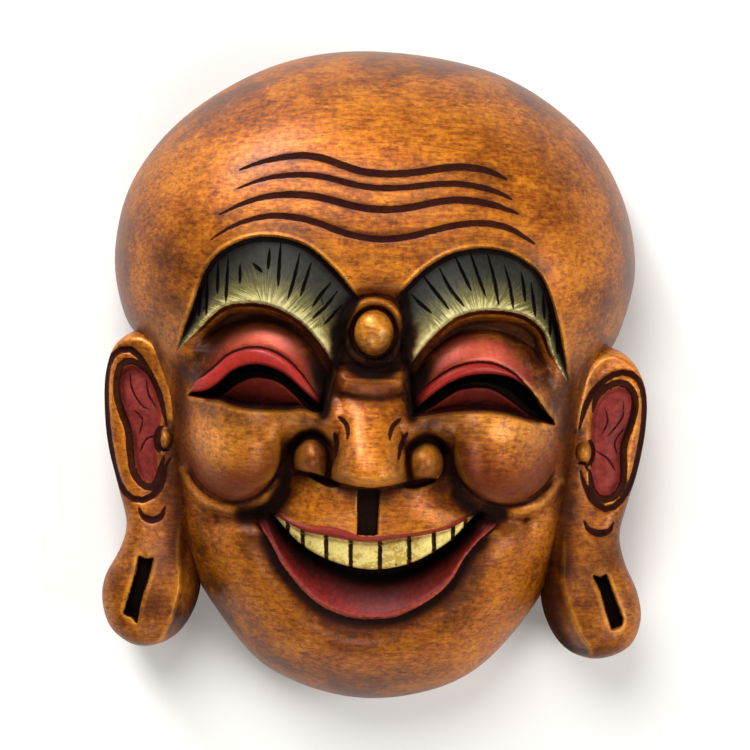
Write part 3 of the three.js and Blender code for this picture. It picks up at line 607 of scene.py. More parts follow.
# Glaze in the grooves over and under the roll, and umber under it: painted shade.
wash("glaze", [(-20, 5.6), (-8, 4.6), (4, 4.8), (15, 6.4)], 1.25, 3.2)
swell([(-16, -10.6), (-6, -11.2), (3, -11.2), (12, -10.4)], -1.6, 2.8)
wash("glaze", [(-19, -9.0), (-7, -11.0), (4, -11.0), (14, -8.8)], 0.85, 2.6)
wash("umber_and_shade", [(-19, -7.0), (-7, -9.0), (4, -9.0), (14, -6.8)], 0.9, 6.0)
BRIDGE_CORNERS = [
    [(-11, 34), (-17, 20), (-19.5, 4), (-22, -8), (-24, -19)],
    [(11, 36), (14, 20), (15, 4), (16.5, -8), (18, -19)],
]
for corner in BRIDGE_CORNERS:
    swell([(x * 0.94, y) for x, y in corner[1:]], -3.2, 3.0)
    # Glaze and umber at each side of the bridge: painted shade.
    wash("glaze", corner, 1.2, 4.2)
    wash("umber_and_shade", corner, 1.0, 7.0)
print("bead at", bx, by)

# %% [markdown]
# ### Mouth
#
# The lips open in a wide laugh. The upper teeth stand like a curved plate just behind the upper lip, and under
# them the mouth is cut deep. The lower lip slopes up out of the mouth to a thin edge, painted from near black, a
# painted shadow, to a light edge, a painted highlight, with a cut all round outside it. The mouth is drawn as strips,
# as the eyes are.

# %% Lips, teeth and the dark between
def mouth_corner(x):
    return np.maximum(ramp(-40, -50, x), ramp(44, 55, x))


place, depth, across, along = strip(MOUTH["red"], MOUTH["lip"])
lay("upper_lip", place, depth + 0.2)
part = relief[place]
part += np.where(depth > 0, 1.4 * np.sin(np.pi * np.clip(across, 0, 1)), 0.0)

place, depth, across, along = strip(MOUTH["dark"], MOUTH["inner"])
carve(place, depth, mix(-24.0 + 4.0 * across**2, -7.0, mouth_corner(U[place])))
lay("gullet", place, depth)
lay("lip", place, depth + 0.3 - 2.5 * (1 - mouth_corner(U[place])))
lay("lip_rise", place, np.where(depth > -1.0, 0.4 * mouth_corner(U[place]), 0.0))
place, depth, across, along = strip(MOUTH["lip"], MOUTH["teeth"])
carve(place, depth, -6.5 - 1.8 * across**3 - 1.2 * (1 - across) ** 6)
lay("teeth", place, depth)
place, depth, across, along = strip(MOUTH["inner"], MOUTH["outer"])
lip_height = -20.0 + 19.0 * across**0.85 - 1.5 * ramp(0.92, 1.0, across)
carve(place, depth, mix(lip_height, -5.0 + 4.0 * across, mouth_corner(U[place])))
lay("lip", place, depth + 0.3)
lay("lip_rise", place, np.where(depth > -1.0, across, 0.0))
lip_ends = np.maximum(ramp(-8, -36, U[place]), ramp(22, 46, U[place]))
# Glaze on the lower lip's inner part and at its ends: painted shade where it turns into the mouth.
lay("glaze", place, np.where(depth > 0, 0.6 * lip_ends * ramp(1.05, 0.6, across) + 0.34 * ramp(0.6, 0.0, across), 0.0))
swell(MOUTH["outer"], -1.5, 1.6)
spots = line(MOUTH["outer"], 40)
place = window(spots, 34)
far, along = nearest(spots, U[place], V[place])
outside = within(np.vstack([line(MOUTH["red"], 40), spots[::-1]]), U[place], V[place]) < 0
# Umber and glaze round the outside of the lower lip: painted shadow under the lip, partly brown wash.
lay("umber_and_shade", place, np.where(outside, bell(far / 15.0), 0.0))
lay("glaze", place, np.where(outside, 1.2 * bell(far / 6.2) * ramp(0.0, 0.08, along) * ramp(1.0, 0.92, along), 0.0))

TOOTH_GAPS = [(-39.2, -39.1), (-32.1, -31.6), (-21, -20.4), (-9.3, -8.9), (4.4, 4.9), (18, 18.7), (29.5, 30.2),
              (38.5, 38.7), (44.2, 44.5)]
lip_line, teeth_line = line(MOUTH["lip"], 80), line(MOUTH["teeth"], 80)


def height_at(spots, x):
    order = np.argsort(spots[:, 0])
    return float(np.interp(x, spots[order, 0], spots[order, 1]))


gaps = [[(top, height_at(lip_line, top) + 0.5), (low, height_at(teeth_line, low) - 1.6)] for top, low in TOOTH_GAPS]
place = window(teeth_line, 4.0)
edges = [low for _, low in TOOTH_GAPS]
crown = 1.0 - (2.0 * np.interp(U[place], edges, np.arange(len(edges))) % 2.0 - 1.0) ** 4
relief[place] += np.where(face_paint["teeth"][place] > 0, 0.9 * (crown - 1.0), 0.0)
print("the mouth has", len(gaps), "gaps between its teeth")

# %% [markdown]
# ### Drawn lines
#
# The wrinkles, lid folds and ear lines are single strokes of a narrow tool, filled with black-brown paint. A stroke
# starts thin, swells, and ends as the hand lifts. Each stroke lowers the board along its line, and lays the same
# shape on the board of the dark paint.


# %% Strokes
def swelling_of(along, thin_start, thin_end):
    return np.sqrt(ramp(-0.01, thin_start, along) * ramp(1.01, 1.0 - thin_end, along))


def draw(points, half, thin_start=0.35, thin_end=0.2, deep=0.9, on_ear=False):
    """One stroke: half its width, and how much of its length each end takes to swell."""
    share = 1.0 if on_ear else FACE_SHARE
    spots = line(points, 30)
    place = window(spots, 6.0, share)
    far, along = nearest(spots, X[place] / share, Y[place] / share)
    swelling = swelling_of(along, thin_start, thin_end)
    width = half * mix(0.25, 1.0, swelling)
    board = ear_relief if on_ear else relief
    board[place] -= deep * swelling * bell(far / (width + 0.15)) ** 1.5
    lay("ink", place, width - far, ear_paint if on_ear else face_paint)


ear_relief = np.zeros_like(X)
FOREHEAD = [
    [(-67, 93), (-55, 97.5), (-40, 100.5), (-30, 100), (-20, 97), (-10, 94), (0, 93), (10, 93.5), (20, 95), (30, 97),
     (40, 97.5), (50, 96), (58, 92.5)],
    [(-68, 84), (-55, 89), (-45, 91), (-35, 91.5), (-25, 90.5), (-15, 88), (-5, 86.5), (5, 86.5), (15, 87.5), (25, 89),
     (35, 89.5), (45, 88.5), (55, 86), (61, 83)],
    [(-75, 72), (-65, 77), (-55, 80.5), (-45, 82), (-35, 82), (-25, 80.5), (-15, 78), (-5, 76.5), (5, 76.5), (15, 78),
     (25, 80.5), (35, 82), (45, 81.5), (55, 79.5), (64, 76.5)],
    [(-79, 60), (-70, 66), (-60, 70), (-50, 72), (-40, 71.5), (-30, 69.5), (-20, 66), (-10, 63.5), (0, 62.5),
     (10, 63.5), (20, 66), (30, 69), (40, 71), (50, 71.5), (60, 69.5), (72, 63)],
]
for wrinkle, half in zip(FOREHEAD, (1.8, 1.5, 1.75, 1.6)):
    draw(wrinkle, half, thin_start=0.3, thin_end=0.12, deep=0.55)
    wash("umber_and_shade", wrinkle, 0.7, 3.6)
for eye in EYES:
    draw(eye["fold"], 0.7, deep=1.2)
NOSE_STROKES = [
    [(-17, -20), (-13.5, -23), (-12, -27), (-12.5, -32)],
    [(-18.5, -27.5), (-17, -33), (-17.5, -40)],
    [(12.5, -20), (9, -23.5), (7.5, -27.5), (7.5, -31.5)],
    [(15.5, -26.5), (13, -32), (12, -37), (11.5, -41)],
]
for stroke in NOSE_STROKES:
    draw(stroke, 1.15, thin_start=0.2, thin_end=0.6, deep=1.0)

PHILTRUM = [(-7, -53.5), (3.4, -53.5), (3.2, -74.6), (1, -75.5), (-6.5, -75.3)]
corners = np.array(PHILTRUM, dtype=float)
place = window(corners, 3.0)
depth = within(corners, U[place], V[place])
relief[place] -= 1.5 * ramp(-0.6, 0.9, depth)
lay("slate", place, depth)
print("drawn", len(FOREHEAD), "wrinkles and", len(NOSE_STROKES), "strokes on the nose")

# %% [markdown]
# ### Hairs of the brows and gaps between the teeth
#
# These repeat, so they are kept as a list of strokes. Here they are only painted. Once the solid stands, one tree
# of Geometry Nodes turns the whole list into the shapes of a narrow tool, and they are cut out of it.

# %% The list of repeated strokes
HAIRS = [
    [(-83.3, 39), (-83.6, 24.5)], [(-80, 44), (-80, 24.8)], [(-75, 50), (-75, 35)], [(-70.3, 52), (-70.8, 31)],
    [(-64.6, 49.5), (-64.4, 40)], [(-59, 50), (-54, 45.5)], [(-46, 60), (-46.6, 39)], [(-37, 55), (-39.5, 42), (-42, 33)],
    [(-31.5, 51), (-34, 42), (-36, 35)], [(-22, 42), (-27, 35.5), (-30.5, 30)], [(-19, 38), (-24, 31), (-30, 25)],
    [(-16.5, 32), (-21, 26.5), (-25, 22)], [(-51, 57), (-51.5, 47)],
    [(15, 38), (19, 34), (25, 29)], [(20, 47), (26, 39.5), (33, 31)], [(28, 50), (33, 41), (40, 32.5)],
    [(35, 56), (39, 48), (43, 40)], [(42, 58), (46, 47), (50, 37)], [(50, 58), (53.5, 46), (56, 34)],
    [(58, 53), (61, 43), (63, 32)], [(66, 50), (67.5, 43), (68.5, 36)], [(71, 45), (73.5, 29)], [(76.8, 40), (78, 28)],
    [(80.6, 34), (81, 20)], [(84, 25), (85, 12)],
]
HAIR_HALF, GAP_HALF = 0.85, 1.05
for hair in HAIRS:
    draw(hair, HAIR_HALF, 0.5, 0.25, deep=0.0)
for gap in gaps:
    draw(gap, GAP_HALF, 0.02, 0.02, deep=0.0)
print(len(HAIRS), "hairs and", len(gaps), "tooth gaps")

# %% [markdown]
# ## Ears
#
# The ears are thick slabs beside the head, with long lobes that stand on the cheek line. A rolled rim runs round the
# top, a red shell lies sunk inside two black lines with a gilded band between them, and a slit is cut in each lobe.
# They get a board of their own, because they stand beside the head and partly in front of it.

# %% Both ears
EARS = [
    {
        "outline": LEFT_EAR,
        "middle": (-101, -63),
        "lobe": (-106, -106),
        "line": [(-93, -41.5), (-95.3, -44.3), (-96.2, -52), (-99.5, -58), (-107, -61.5), (-114, -58), (-118.8, -48.5),
                 (-122, -34), (-124, -19), (-124.3, -4), (-122, 4.3), (-117, 8), (-111, 6.8), (-104.8, -1.5),
                 (-99.2, -12.4), (-95.3, -26.8)],
        "band": [(-105, -2.7), (-110, 1.8), (-116, 2.2), (-118.8, -2.5), (-119.2, -12), (-117, -20), (-113.3, -29),
                 (-112.1, -38.4), (-110.5, -47.7), (-106.6, -53.4), (-101.9, -55.3), (-98.8, -52), (-97.6, -46),
                 (-96, -40.8)],
        "shell": [(-112.5, 0.6), (-105.9, -2), (-101.7, -7.8), (-98.6, -18.2), (-98.5, -26.3), (-100.3, -35.7),
                  (-99.1, -43.8), (-99.4, -50), (-102.6, -53.3), (-107.7, -50), (-110.4, -40.7), (-111.7, -30.2),
                  (-115.8, -21), (-117.8, -11), (-117, -2)],
        "helix": [(-123.7, 7.8), (-117.5, 12), (-110, 13), (-102.3, 8.5), (-96.6, -0.7), (-93.8, -12.2), (-92.8, -22.1)],
        "veins": [[(-113.7, -1.8), (-112.1, -10.5), (-107.2, -17.9), (-103, -19.5)],
                  [(-105.8, -5), (-104.4, -12.6), (-100.1, -19.4)], [(-111.2, -19.8), (-107, -24.3), (-108.5, -32.5)],
                  [(-99.2, -31), (-104.9, -33.5), (-108.2, -40.6)]],
        "tragus": (-96.2, -33),
        "curl": [(-93.7, -37.8), (-97.2, -37.6), (-98.4, -34.5), (-98.1, -28.7), (-96, -26)],
        "stroke": [(-107.1, -64.8), (-105.2, -68.4), (-100.9, -70.2), (-96.8, -68.4), (-94.8, -63.7)],
        "slit": [(-106.2, -87.1), (-103.2, -88.4), (-99.7, -87.8), (-101, -95.1), (-104.4, -106.8), (-106.1, -117.7),
                 (-108.2, -115.1), (-112.5, -113.5), (-110.2, -105.8), (-107.1, -94.1)],
        "facet": [(-88.2, -85.3), (-87.1, -100.4), (-90.2, -114.5), (-95.6, -126.3)],
    },
    {
        "outline": RIGHT_EAR,
        "middle": (103, -63),
        "lobe": (108, -106),
        "line": [(94.2, -22.6), (96.3, -13.2), (100.1, -5), (107.4, 2.2), (114.3, 4.5), (120.6, 2), (124, -5.4),
                 (124.5, -17), (122.8, -31), (119.8, -45.1), (115, -54.5), (108.2, -58.8), (101.7, -55), (97.3, -46.9),
                 (95.4, -41.2)],
        "band": [(100.4, -14.3), (101.9, -7.2), (107.6, -2), (113.9, -0.3), (118.8, -4.4), (120.2, -11.3), (118, -20.7),
                 (115.3, -30.1), (115.7, -40.5), (115.4, -47.5), (111.5, -53), (105.7, -54.2), (101.5, -50.3),
                 (99.8, -41)],
        "shell": [(108.4, -3.6), (114.6, -2.4), (118.8, -7), (119.8, -13.7), (117.4, -21.9), (114.4, -30.1),
                  (114.6, -38.3), (114.5, -45.8), (110.3, -51.8), (105.1, -52.5), (101.4, -46.5), (100.3, -36.4),
                  (99.9, -24.8), (100.4, -15.4), (103.2, -8)],
        "helix": [(124.2, 1.6), (119, 8.6), (111.2, 12.6), (103.6, 10.6), (97.2, 2.1), (95, -9.8), (94, -20.3)],
        "veins": [[(114.7, -8), (114.4, -16.2), (109.4, -23.3), (106.6, -26.3)],
                  [(106.1, -11.2), (107.5, -18.7), (105, -24.6)], [(102.1, -31.7), (108.6, -36.1), (112.3, -41.8)],
                  [(115.7, -20.8), (111.3, -27.9), (112.6, -33.7)]],
        "tragus": (97.1, -33),
        "curl": [(94, -38), (97.5, -38.2), (99, -41.5)],
        "stroke": [(97.9, -64.4), (100.3, -68.2), (105, -70), (109.7, -68.6), (111.6, -64.9)],
        "slit": [(102.7, -89.2), (105.7, -90.3), (108.7, -88.7), (111.7, -96.5), (117, -109.1), (116.3, -112.1),
                 (112.2, -113.7), (109, -104.7), (106.5, -96.7)],
        "facet": [(88.9, -92.6), (91.5, -101.8), (96.5, -114.4), (102.7, -123.6)],
    },
]
ear_depths = []
for ear in EARS:
    depth = board_of_depth(ear["outline"])
    ear_depths.append(depth)
    lx, ly = ear["lobe"]
    ear_side = depth > -12
    lean = 0.22 * (124 - np.abs(X))
    facet_y, facet_x = [y for _, y in ear["facet"]][::-1], [abs(x) for x, _ in ear["facet"]][::-1]
    beyond = np.interp(Y, facet_y, facet_x) - np.abs(X)
    inner_wall = -1.5 * np.clip(beyond, 0.0, 16.0) * ramp(-64, -82, Y)
    bulge = 7.0 * bell(np.hypot((X - lx) / 22, (Y - ly) / 28))
    ear_relief += np.where(ear_side, lean + inner_wall + bulge, 0.0)
    # Umber and glaze on the lobe's inner facet: painted shade on the facet that turns towards the face.
    lay("umber_and_shade", np.s_[:], np.where(ear_side, ramp(-0.5, 1.5, beyond) * ramp(-62, -82, Y), 0.0), ear_paint)
    lay("glaze", np.s_[:], np.where(ear_side, 0.75 * ramp(0.5, 10.0, beyond) * ramp(-60, -80, Y), 0.0), ear_paint)

    spots = line(ear["shell"], 60, closed=True)
    place = window(spots, 8.0, 1.0)
    depth = within(spots, X[place], Y[place])
    ear_relief[place] -= 5.0 * ramp(-1.4, 2.4, depth) - 1.0 * ramp(2.4, 8.0, depth)
    lay("shell", place, depth, ear_paint)
    helix = line(ear["helix"], 40)
    place = window(helix, 12.0, 1.0)
    far, along = nearest(helix, X[place], Y[place])
    ear_relief[place] += 3.0 * bell(far / 3.4)
    # Gilt along the rolled rim: a rubbed edge, partly a painted highlight.
    lay("gilt_and_highlight", place, 0.7 * bell(far / 1.8) * ramp(0.1, 0.3, along), ear_paint)
    tx, ty = ear["tragus"]
    place = window(np.array([(tx - 5, ty - 6), (tx + 5, ty + 6)]), 3.0, 1.0)
    q = np.hypot((X[place] - tx) / 3.4, (Y[place] - ty) / 4.6)
    ear_relief[place] += 4.0 * cap(q)
    outer_side = ramp(-3.0, 1.0, (X[place] - tx) * np.sign(-tx))
    lay("ink", place, 1.3 - np.abs(q - 1.25) * 4.0 - 3.0 * outer_side, ear_paint)

    draw(ear["line"], 1.5, 0.12, 0.12, 1.6, on_ear=True)
    draw(ear["band"], 1.7, 0.12, 0.12, 1.0, on_ear=True)
    draw(ear["stroke"], 1.7, 0.5, 0.5, 1.4, on_ear=True)
    draw(ear["curl"], 0.8, 0.2, 0.4, 0.8, on_ear=True)
    for vein in ear["veins"]:
        draw(vein, 0.45, 0.3, 0.3, 0.6, on_ear=True)
    corners = np.array(ear["slit"], dtype=float)
    place = window(corners, 3.0, 1.0)
    depth = within(corners, X[place], Y[place])
    ear_relief[place] -= 7.5 * ramp(-0.3, 0.8, depth)
    lay("slate", place, depth + 0.3, ear_paint)
print("the ears' carving runs from", round(float(ear_relief.min()), 1), "to", round(float(ear_relief.max()), 1), "mm")

# %% Brown washes and painted shade towards the edges
# Umber and glaze in the valley between the face and each ear: painted shade between the parts.
beside_ear = ramp(78, 87, np.abs(X)) * ramp(101, 93, np.abs(X)) * ramp(16, 0, Y) * ramp(-104, -86, Y)
for paints in (face_paint, ear_paint):
    lay("umber_and_shade", np.s_[:], beside_ear, paints)
    lay("glaze", np.s_[:], 0.66 * bell((np.abs(X) - 89.0) / 6.5) * ramp(22, -4, Y) * ramp(-104, -84, Y), paints)
right_jaw = ramp(30, 56, X) * ramp(-50, -70, Y)
# Umber towards the outline, on the temples, between the brows and beside the ears: brown wash and painted shade where
# the head turns away.
lay("umber_and_shade", np.s_[:], 0.8 * ramp(26, 3, head_depth) * (1 - 0.85 * right_jaw))
lay("umber_and_shade", np.s_[:], 0.4 * ramp(60, 20, head_depth) * ramp(30, 70, Y))
lay("umber_and_shade", np.s_[:], 0.9 * bell(np.hypot((X + 96) / 18, (Y - 48) / 16)))
lay("umber_and_shade", np.s_[:], 0.8 * bell(np.hypot((X - 104) / 16, (Y - 32) / 24)))
lay("umber_and_shade", np.s_[:], 0.7 * bell(np.hypot((X + 92) / 20, (Y - 22) / 30)))
lay("umber_and_shade", np.s_[:], 0.75 * bell(np.hypot(X / 17, (Y - 38) / 12)))
lay("umber_and_shade", np.s_[:], 0.95 * ramp(76, 98, np.abs(X)) * ramp(-30, -8, Y) * ramp(44, 16, Y))
ear_rim = np.maximum(ramp(9, 0, ear_depths[0]) * (ear_depths[0] > -1), ramp(9, 0, ear_depths[1]) * (ear_depths[1] > -1))
# Umber round the ears' rims and over their lower parts: brown wash and painted shade.
lay("umber_and_shade", np.s_[:], 0.8 * ear_rim * ramp(0, -30, Y), ear_paint)
lay("umber_and_shade", np.s_[:], 0.76 * ramp(-50, -78, Y), ear_paint)
lay("umber_and_shade", np.s_[:], 0.5 * ramp(8, 0, Y) * ramp(112, 100, np.abs(X)), ear_paint)
print("umber covers", round(float((face_paint["umber_and_shade"] > 0.5).mean()), 2), "of the board")

# %% [markdown]
# ## Easing the edges
#
# A chisel leaves an edge, and sanding and lacquer ease it. Blurring the boards by a third of a millimetre does that.
# The difference between the board and a more blurred copy tells how sunk or how proud each place is, which the
# painter's dark glaze, partly painted shade in the cuts and hollows, and the rubbed gold both follow.


# %% Blur, and the sunk and proud places
def blur(board, size):
    """A soft blur of a board: three passes of a running mean, over about size millimetres."""
    reach = max(1, round(size / CELL))
    for axis in (0, 1, 0, 1, 0, 1):
        padded = np.pad(board, [(reach + 1, reach) if k == axis else (0, 0) for k in (0, 1)], mode="edge")
        total = np.cumsum(padded, axis=axis, dtype=np.float64)
        high = np.take(total, range(2 * reach + 1, total.shape[axis]), axis=axis)
        low = np.take(total, range(0, total.shape[axis] - 2 * reach - 1), axis=axis)
        board = ((high - low) / (2 * reach + 1)).astype(np.float32)
    return board


relief = blur(relief, CELL)
ear_relief = blur(ear_relief, CELL)
SUNK_OVER, SUNK_FULL = 1.2, 1.2
# The wider blurs find the broad hollows, which the glaze darkens as painted shade.
NEAR_OVER, NEAR_FULL = 4.5, 5.0
WIDE_OVER, WIDE_FULL = 11.0, 12.0
for board, paints in ((relief, face_paint), (ear_relief, ear_paint)):
    paints["sunk"] = np.clip((blur(board, SUNK_OVER) - board) / SUNK_FULL, -1.0, 1.0)
    near = (blur(board, NEAR_OVER) - board) / NEAR_FULL
    wide = (blur(board, WIDE_OVER) - board) / WIDE_FULL
    paints["near"] = np.clip(np.maximum(near, wide), -1.0, 1.0)
print("carving from", round(float(relief.min()), 1), "to", round(float(relief.max()), 1), "mm")

# %% [markdown]
# ## From the board to a solid
#
# A square net is laid over the outline so that its border is the outline itself, and each point is lifted to its
# height. Under the border the sides go down in a few rings, and the last ring is closed flat. A solid made this way
# is closed all round, so that it can be joined and cut like clay.


# %% A closed solid under a carved front
def reach_of(outline, middle, angle):
    away = outline - np.array(middle)
    turn, far = np.arctan2(away[:, 1], away[:, 0]), np.hypot(away[:, 0], away[:, 1])
    order = np.argsort(turn)
    return np.interp(angle, turn[order], far[order], period=2 * math.pi)


def net_over(outline, middle, cells, steep):
    """The places of a square net drawn over a star-shaped outline; steep crowds them towards its edge."""
    a, b = np.meshgrid(*[np.linspace(-1.0, 1.0, cells + 1)] * 2)
    dx, dy = a * np.sqrt(1 - b * b / 2), b * np.sqrt(1 - a * a / 2)
    far = np.minimum(1.0, np.hypot(dx, dy))
    angle = np.arctan2(dy, dx)
    out = mix(far, far * (2 - far), steep) * reach_of(outline, middle, angle)
    return middle[0] + out * np.cos(angle), middle[1] + out * np.sin(angle)


def border_of(cells):
    width = cells + 1
    run = np.arange(cells)
    return np.r_[run, run * width + cells, cells * width + cells - run, (cells - run) * width]


def closed_solid(name, x, y, z, middle, rings):
    """A mesh of the front, its rings (share and inset off the reach, and height) and a flat back, in metres."""
    cells = x.shape[0] - 1
    points = [np.stack([x.ravel(), y.ravel(), z.ravel()], axis=1)]
    k = np.arange((cells + 1) ** 2).reshape(cells + 1, cells + 1)
    quads = [np.stack([k[:-1, :-1], k[:-1, 1:], k[1:, 1:], k[1:, :-1]], axis=-1).reshape(-1, 4)]
    above = border_of(cells)
    rim = points[0][above, :2] - middle
    count = (cells + 1) ** 2
    for share, inset, height in rings:
        reach = np.hypot(rim[:, 0], rim[:, 1])
        spots = rim * ((reach * (1 - share) - inset) / reach)[:, None] + middle
        points.append(np.c_[spots, np.full(len(spots), height)])
        below = count + np.arange(len(above))
        count += len(above)
        quads.append(np.stack([np.roll(above, -1), above, below, np.roll(below, -1)], axis=1))
        above = below
    points.append(np.array([[*middle, rings[-1][2]]]))
    fan = np.stack([np.roll(above, -1), above, np.full(len(above), count)], axis=1)
    points = np.vstack(points) * MM
    quads = np.vstack(quads)
    mesh = bpy.data.meshes.new(name)
    mesh.vertices.add(len(points))
    mesh.vertices.foreach_set("co", points.astype(np.float32).ravel())
    corners = np.r_[quads.ravel(), fan.ravel()].astype(np.int32)
    mesh.loops.add(len(corners))
    mesh.loops.foreach_set("vertex_index", corners)
    starts = np.r_[np.arange(len(quads)) * 4, len(quads) * 4 + np.arange(len(fan)) * 3].astype(np.int32)
    mesh.polygons.add(len(starts))
    mesh.polygons.foreach_set("loop_start", starts)
    mesh.update(calc_edges=True)
    return place_object(name, mesh)


def place_object(name, mesh):
    thing = bpy.data.objects.new(name, mesh)
    bpy.context.scene.collection.objects.link(thing)
    return thing


def settle(thing, name):
    """Turns an object with its modifiers into a plain mesh, and removes the modifiers and what they used."""
    graph = bpy.context.evaluated_depsgraph_get()
    mesh = bpy.data.meshes.new_from_object(thing.evaluated_get(graph))
    mesh.name = name
    others = [m.object for m in thing.modifiers if getattr(m, "object", None)]
    thing.modifiers.clear()
    old = thing.data
    thing.data = mesh
    bpy.data.meshes.remove(old)
    for other in others:
        bpy.data.objects.remove(other)
    return thing


def thin(thing, triangles):
    """Leaves about that many triangles, fewest where the form is flat."""
    now = sum(len(p.vertices) - 2 for p in thing.data.polygons)
    step = thing.modifiers.new("thin", "DECIMATE")
    step.ratio = min(1.0, triangles / now)
    return settle(thing, thing.name)


# %% [markdown]
# The net is far finer than the finished piece needs. The Decimate modifier takes out edges where the form hardly
# changes and keeps them along the cuts, so that the triangles go where the carving is.

# %% Head
HEAD_CELLS = 720


def head_front(x, y):
    depth = depth_inside(HEAD, head_depth, x, y)
    return WIDEST + dome(y, depth) + read(relief, x, y) * ramp(0.0, 3.0, depth)


x, y = net_over(HEAD, (0.0, 0.0), HEAD_CELLS, 0.25)
rings = [(0, 0.6, WIDEST * 0.55), (0, 2.2, WIDEST * 0.2), (0, 4.5, 0.0)]
mask = closed_solid("carved_mask", x, y, head_front(x, y), (0.0, 0.0), rings)
thin(mask, 128000)
print("head:", len(mask.data.polygons), "faces")

# %% Ears
EAR_CELLS = 300
EAR_SIDE = [(0.02, 0, 0.6), (0.08, 0, 0.15), (0.15, 0, 0.0)]
ROUND = 9.0


def ear_front(ear, depths, x, y):
    depth = depth_inside(ear["outline"], depths, x, y)
    edge = ROUND * (cap(1 - np.clip(depth / ROUND, 0, 1)) - 1)
    return EAR_FRONT + edge + read(ear_relief, x, y)


for ear, depths in zip(EARS, ear_depths):
    x, y = net_over(ear["outline"], ear["middle"], EAR_CELLS, 0.25)
    rings = [(share, inset, mix(EAR_BACK, EAR_FRONT, high)) for share, inset, high in EAR_SIDE]
    slab = closed_solid("ear", x, y, ear_front(ear, depths, x, y), ear["middle"], rings)
    thin(slab, 24000)
    joint = mask.modifiers.new("join the ear", "BOOLEAN")
    joint.operation = "UNION"
    joint.solver = "MANIFOLD"
    joint.object = slab
    settle(mask, "carved_mask")
print("head and ears:", len(mask.data.polygons), "faces")

# %% [markdown]
# The back is gouged out in one broad hollow that follows the face at some distance, with a flat rim left round it,
# and the eye slits are cut through. Both are subtracted as solids of their own.


# %% Hollow and slits
def hollow_front(x, y, depth):
    u, v = x / FACE_SHARE, y / FACE_SHARE
    eyes = -6.0 * ramp(-40, -10, v) * ramp(70, 40, v) * ramp(100, 80, np.abs(u))
    mouth = -19.0 * bell(np.hypot(u / 62, (v + 88) / 34) ** 1.5)
    return np.maximum(0.0, (WIDEST + dome(y, depth) + np.minimum(eyes, mouth)) * 0.98 - WALL - 3.0)


def cut_with(tool):
    cut = mask.modifiers.new("cut", "BOOLEAN")
    cut.operation = "DIFFERENCE"
    cut.solver = "MANIFOLD"
    cut.object = tool
    settle(mask, "carved_mask")


reach = np.hypot(HEAD[:, 0], HEAD[:, 1])
HOLLOW = HEAD * (1 - (RIM + 4.5) / reach)[:, None]
x, y = net_over(HOLLOW, (0.0, 0.0), 180, 0.5)
depth = np.maximum(0.0, within(HOLLOW, x, y))
GOUGE_WIDE, GOUGE_DEEP = 13.0, 0.55
marks = GOUGE_DEEP * np.abs(np.sin(np.pi * x / GOUGE_WIDE + 0.5 * np.sin(y / 9.0))) * ramp(0, 12, depth)
z = hollow_front(x, y, depth) - marks
gouge = closed_solid("hollow", x, y, z, (0.0, 0.0), [(0, 0, -10.0)])
thin(gouge, 14000)
cut_with(gouge)

SLIT_SHARE = 0.62
for eye in EYES:
    upper, lower = line(eye["upper"], 40) * FACE_SHARE, line(eye["lower"], 40) * FACE_SHARE
    ring = np.vstack([mix(upper, lower, 0.05), mix(upper, lower, SLIT_SHARE)[::-1]])
    n = len(ring)
    points = np.vstack([np.c_[ring, np.full(n, 10.0)], np.c_[ring, np.full(n, 160.0)]]) * MM
    k = np.arange(n)
    sides = [(int(a), int(b), int(b) + n, int(a) + n) for a, b in zip(k, np.roll(k, -1))]
    slit = bpy.data.meshes.new("slit")
    slit.from_pydata(points.tolist(), [], [*sides, tuple(range(n))[::-1], tuple(range(n, 2 * n))])
    tool = place_object("slit", slit)
    step = tool.modifiers.new("facets", "TRIANGULATE")
    settle(tool, "slit")
    area = sum((a[0] * b[1] - b[0] * a[1]) for a, b in zip(ring, np.roll(ring, -1, axis=0)))
    if area < 0:
        tool.data.flip_normals()
    cut_with(tool)
print("hollowed and slit:", len(mask.data.polygons), "faces")

# %% [markdown]
# ## The narrow tool
#
# Every hair and gap is the same stroke at another length, so this is work for Geometry Nodes. The strokes are drawn
# on the finished surface as chains of points. The tree turns each chain into a curve, sweeps a small square along it
# whose size swells and thins as the hand presses, and closes its ends. One corner of the square points into the
# wood, so the Boolean modifier leaves a V-shaped cut, as a parting tool does.


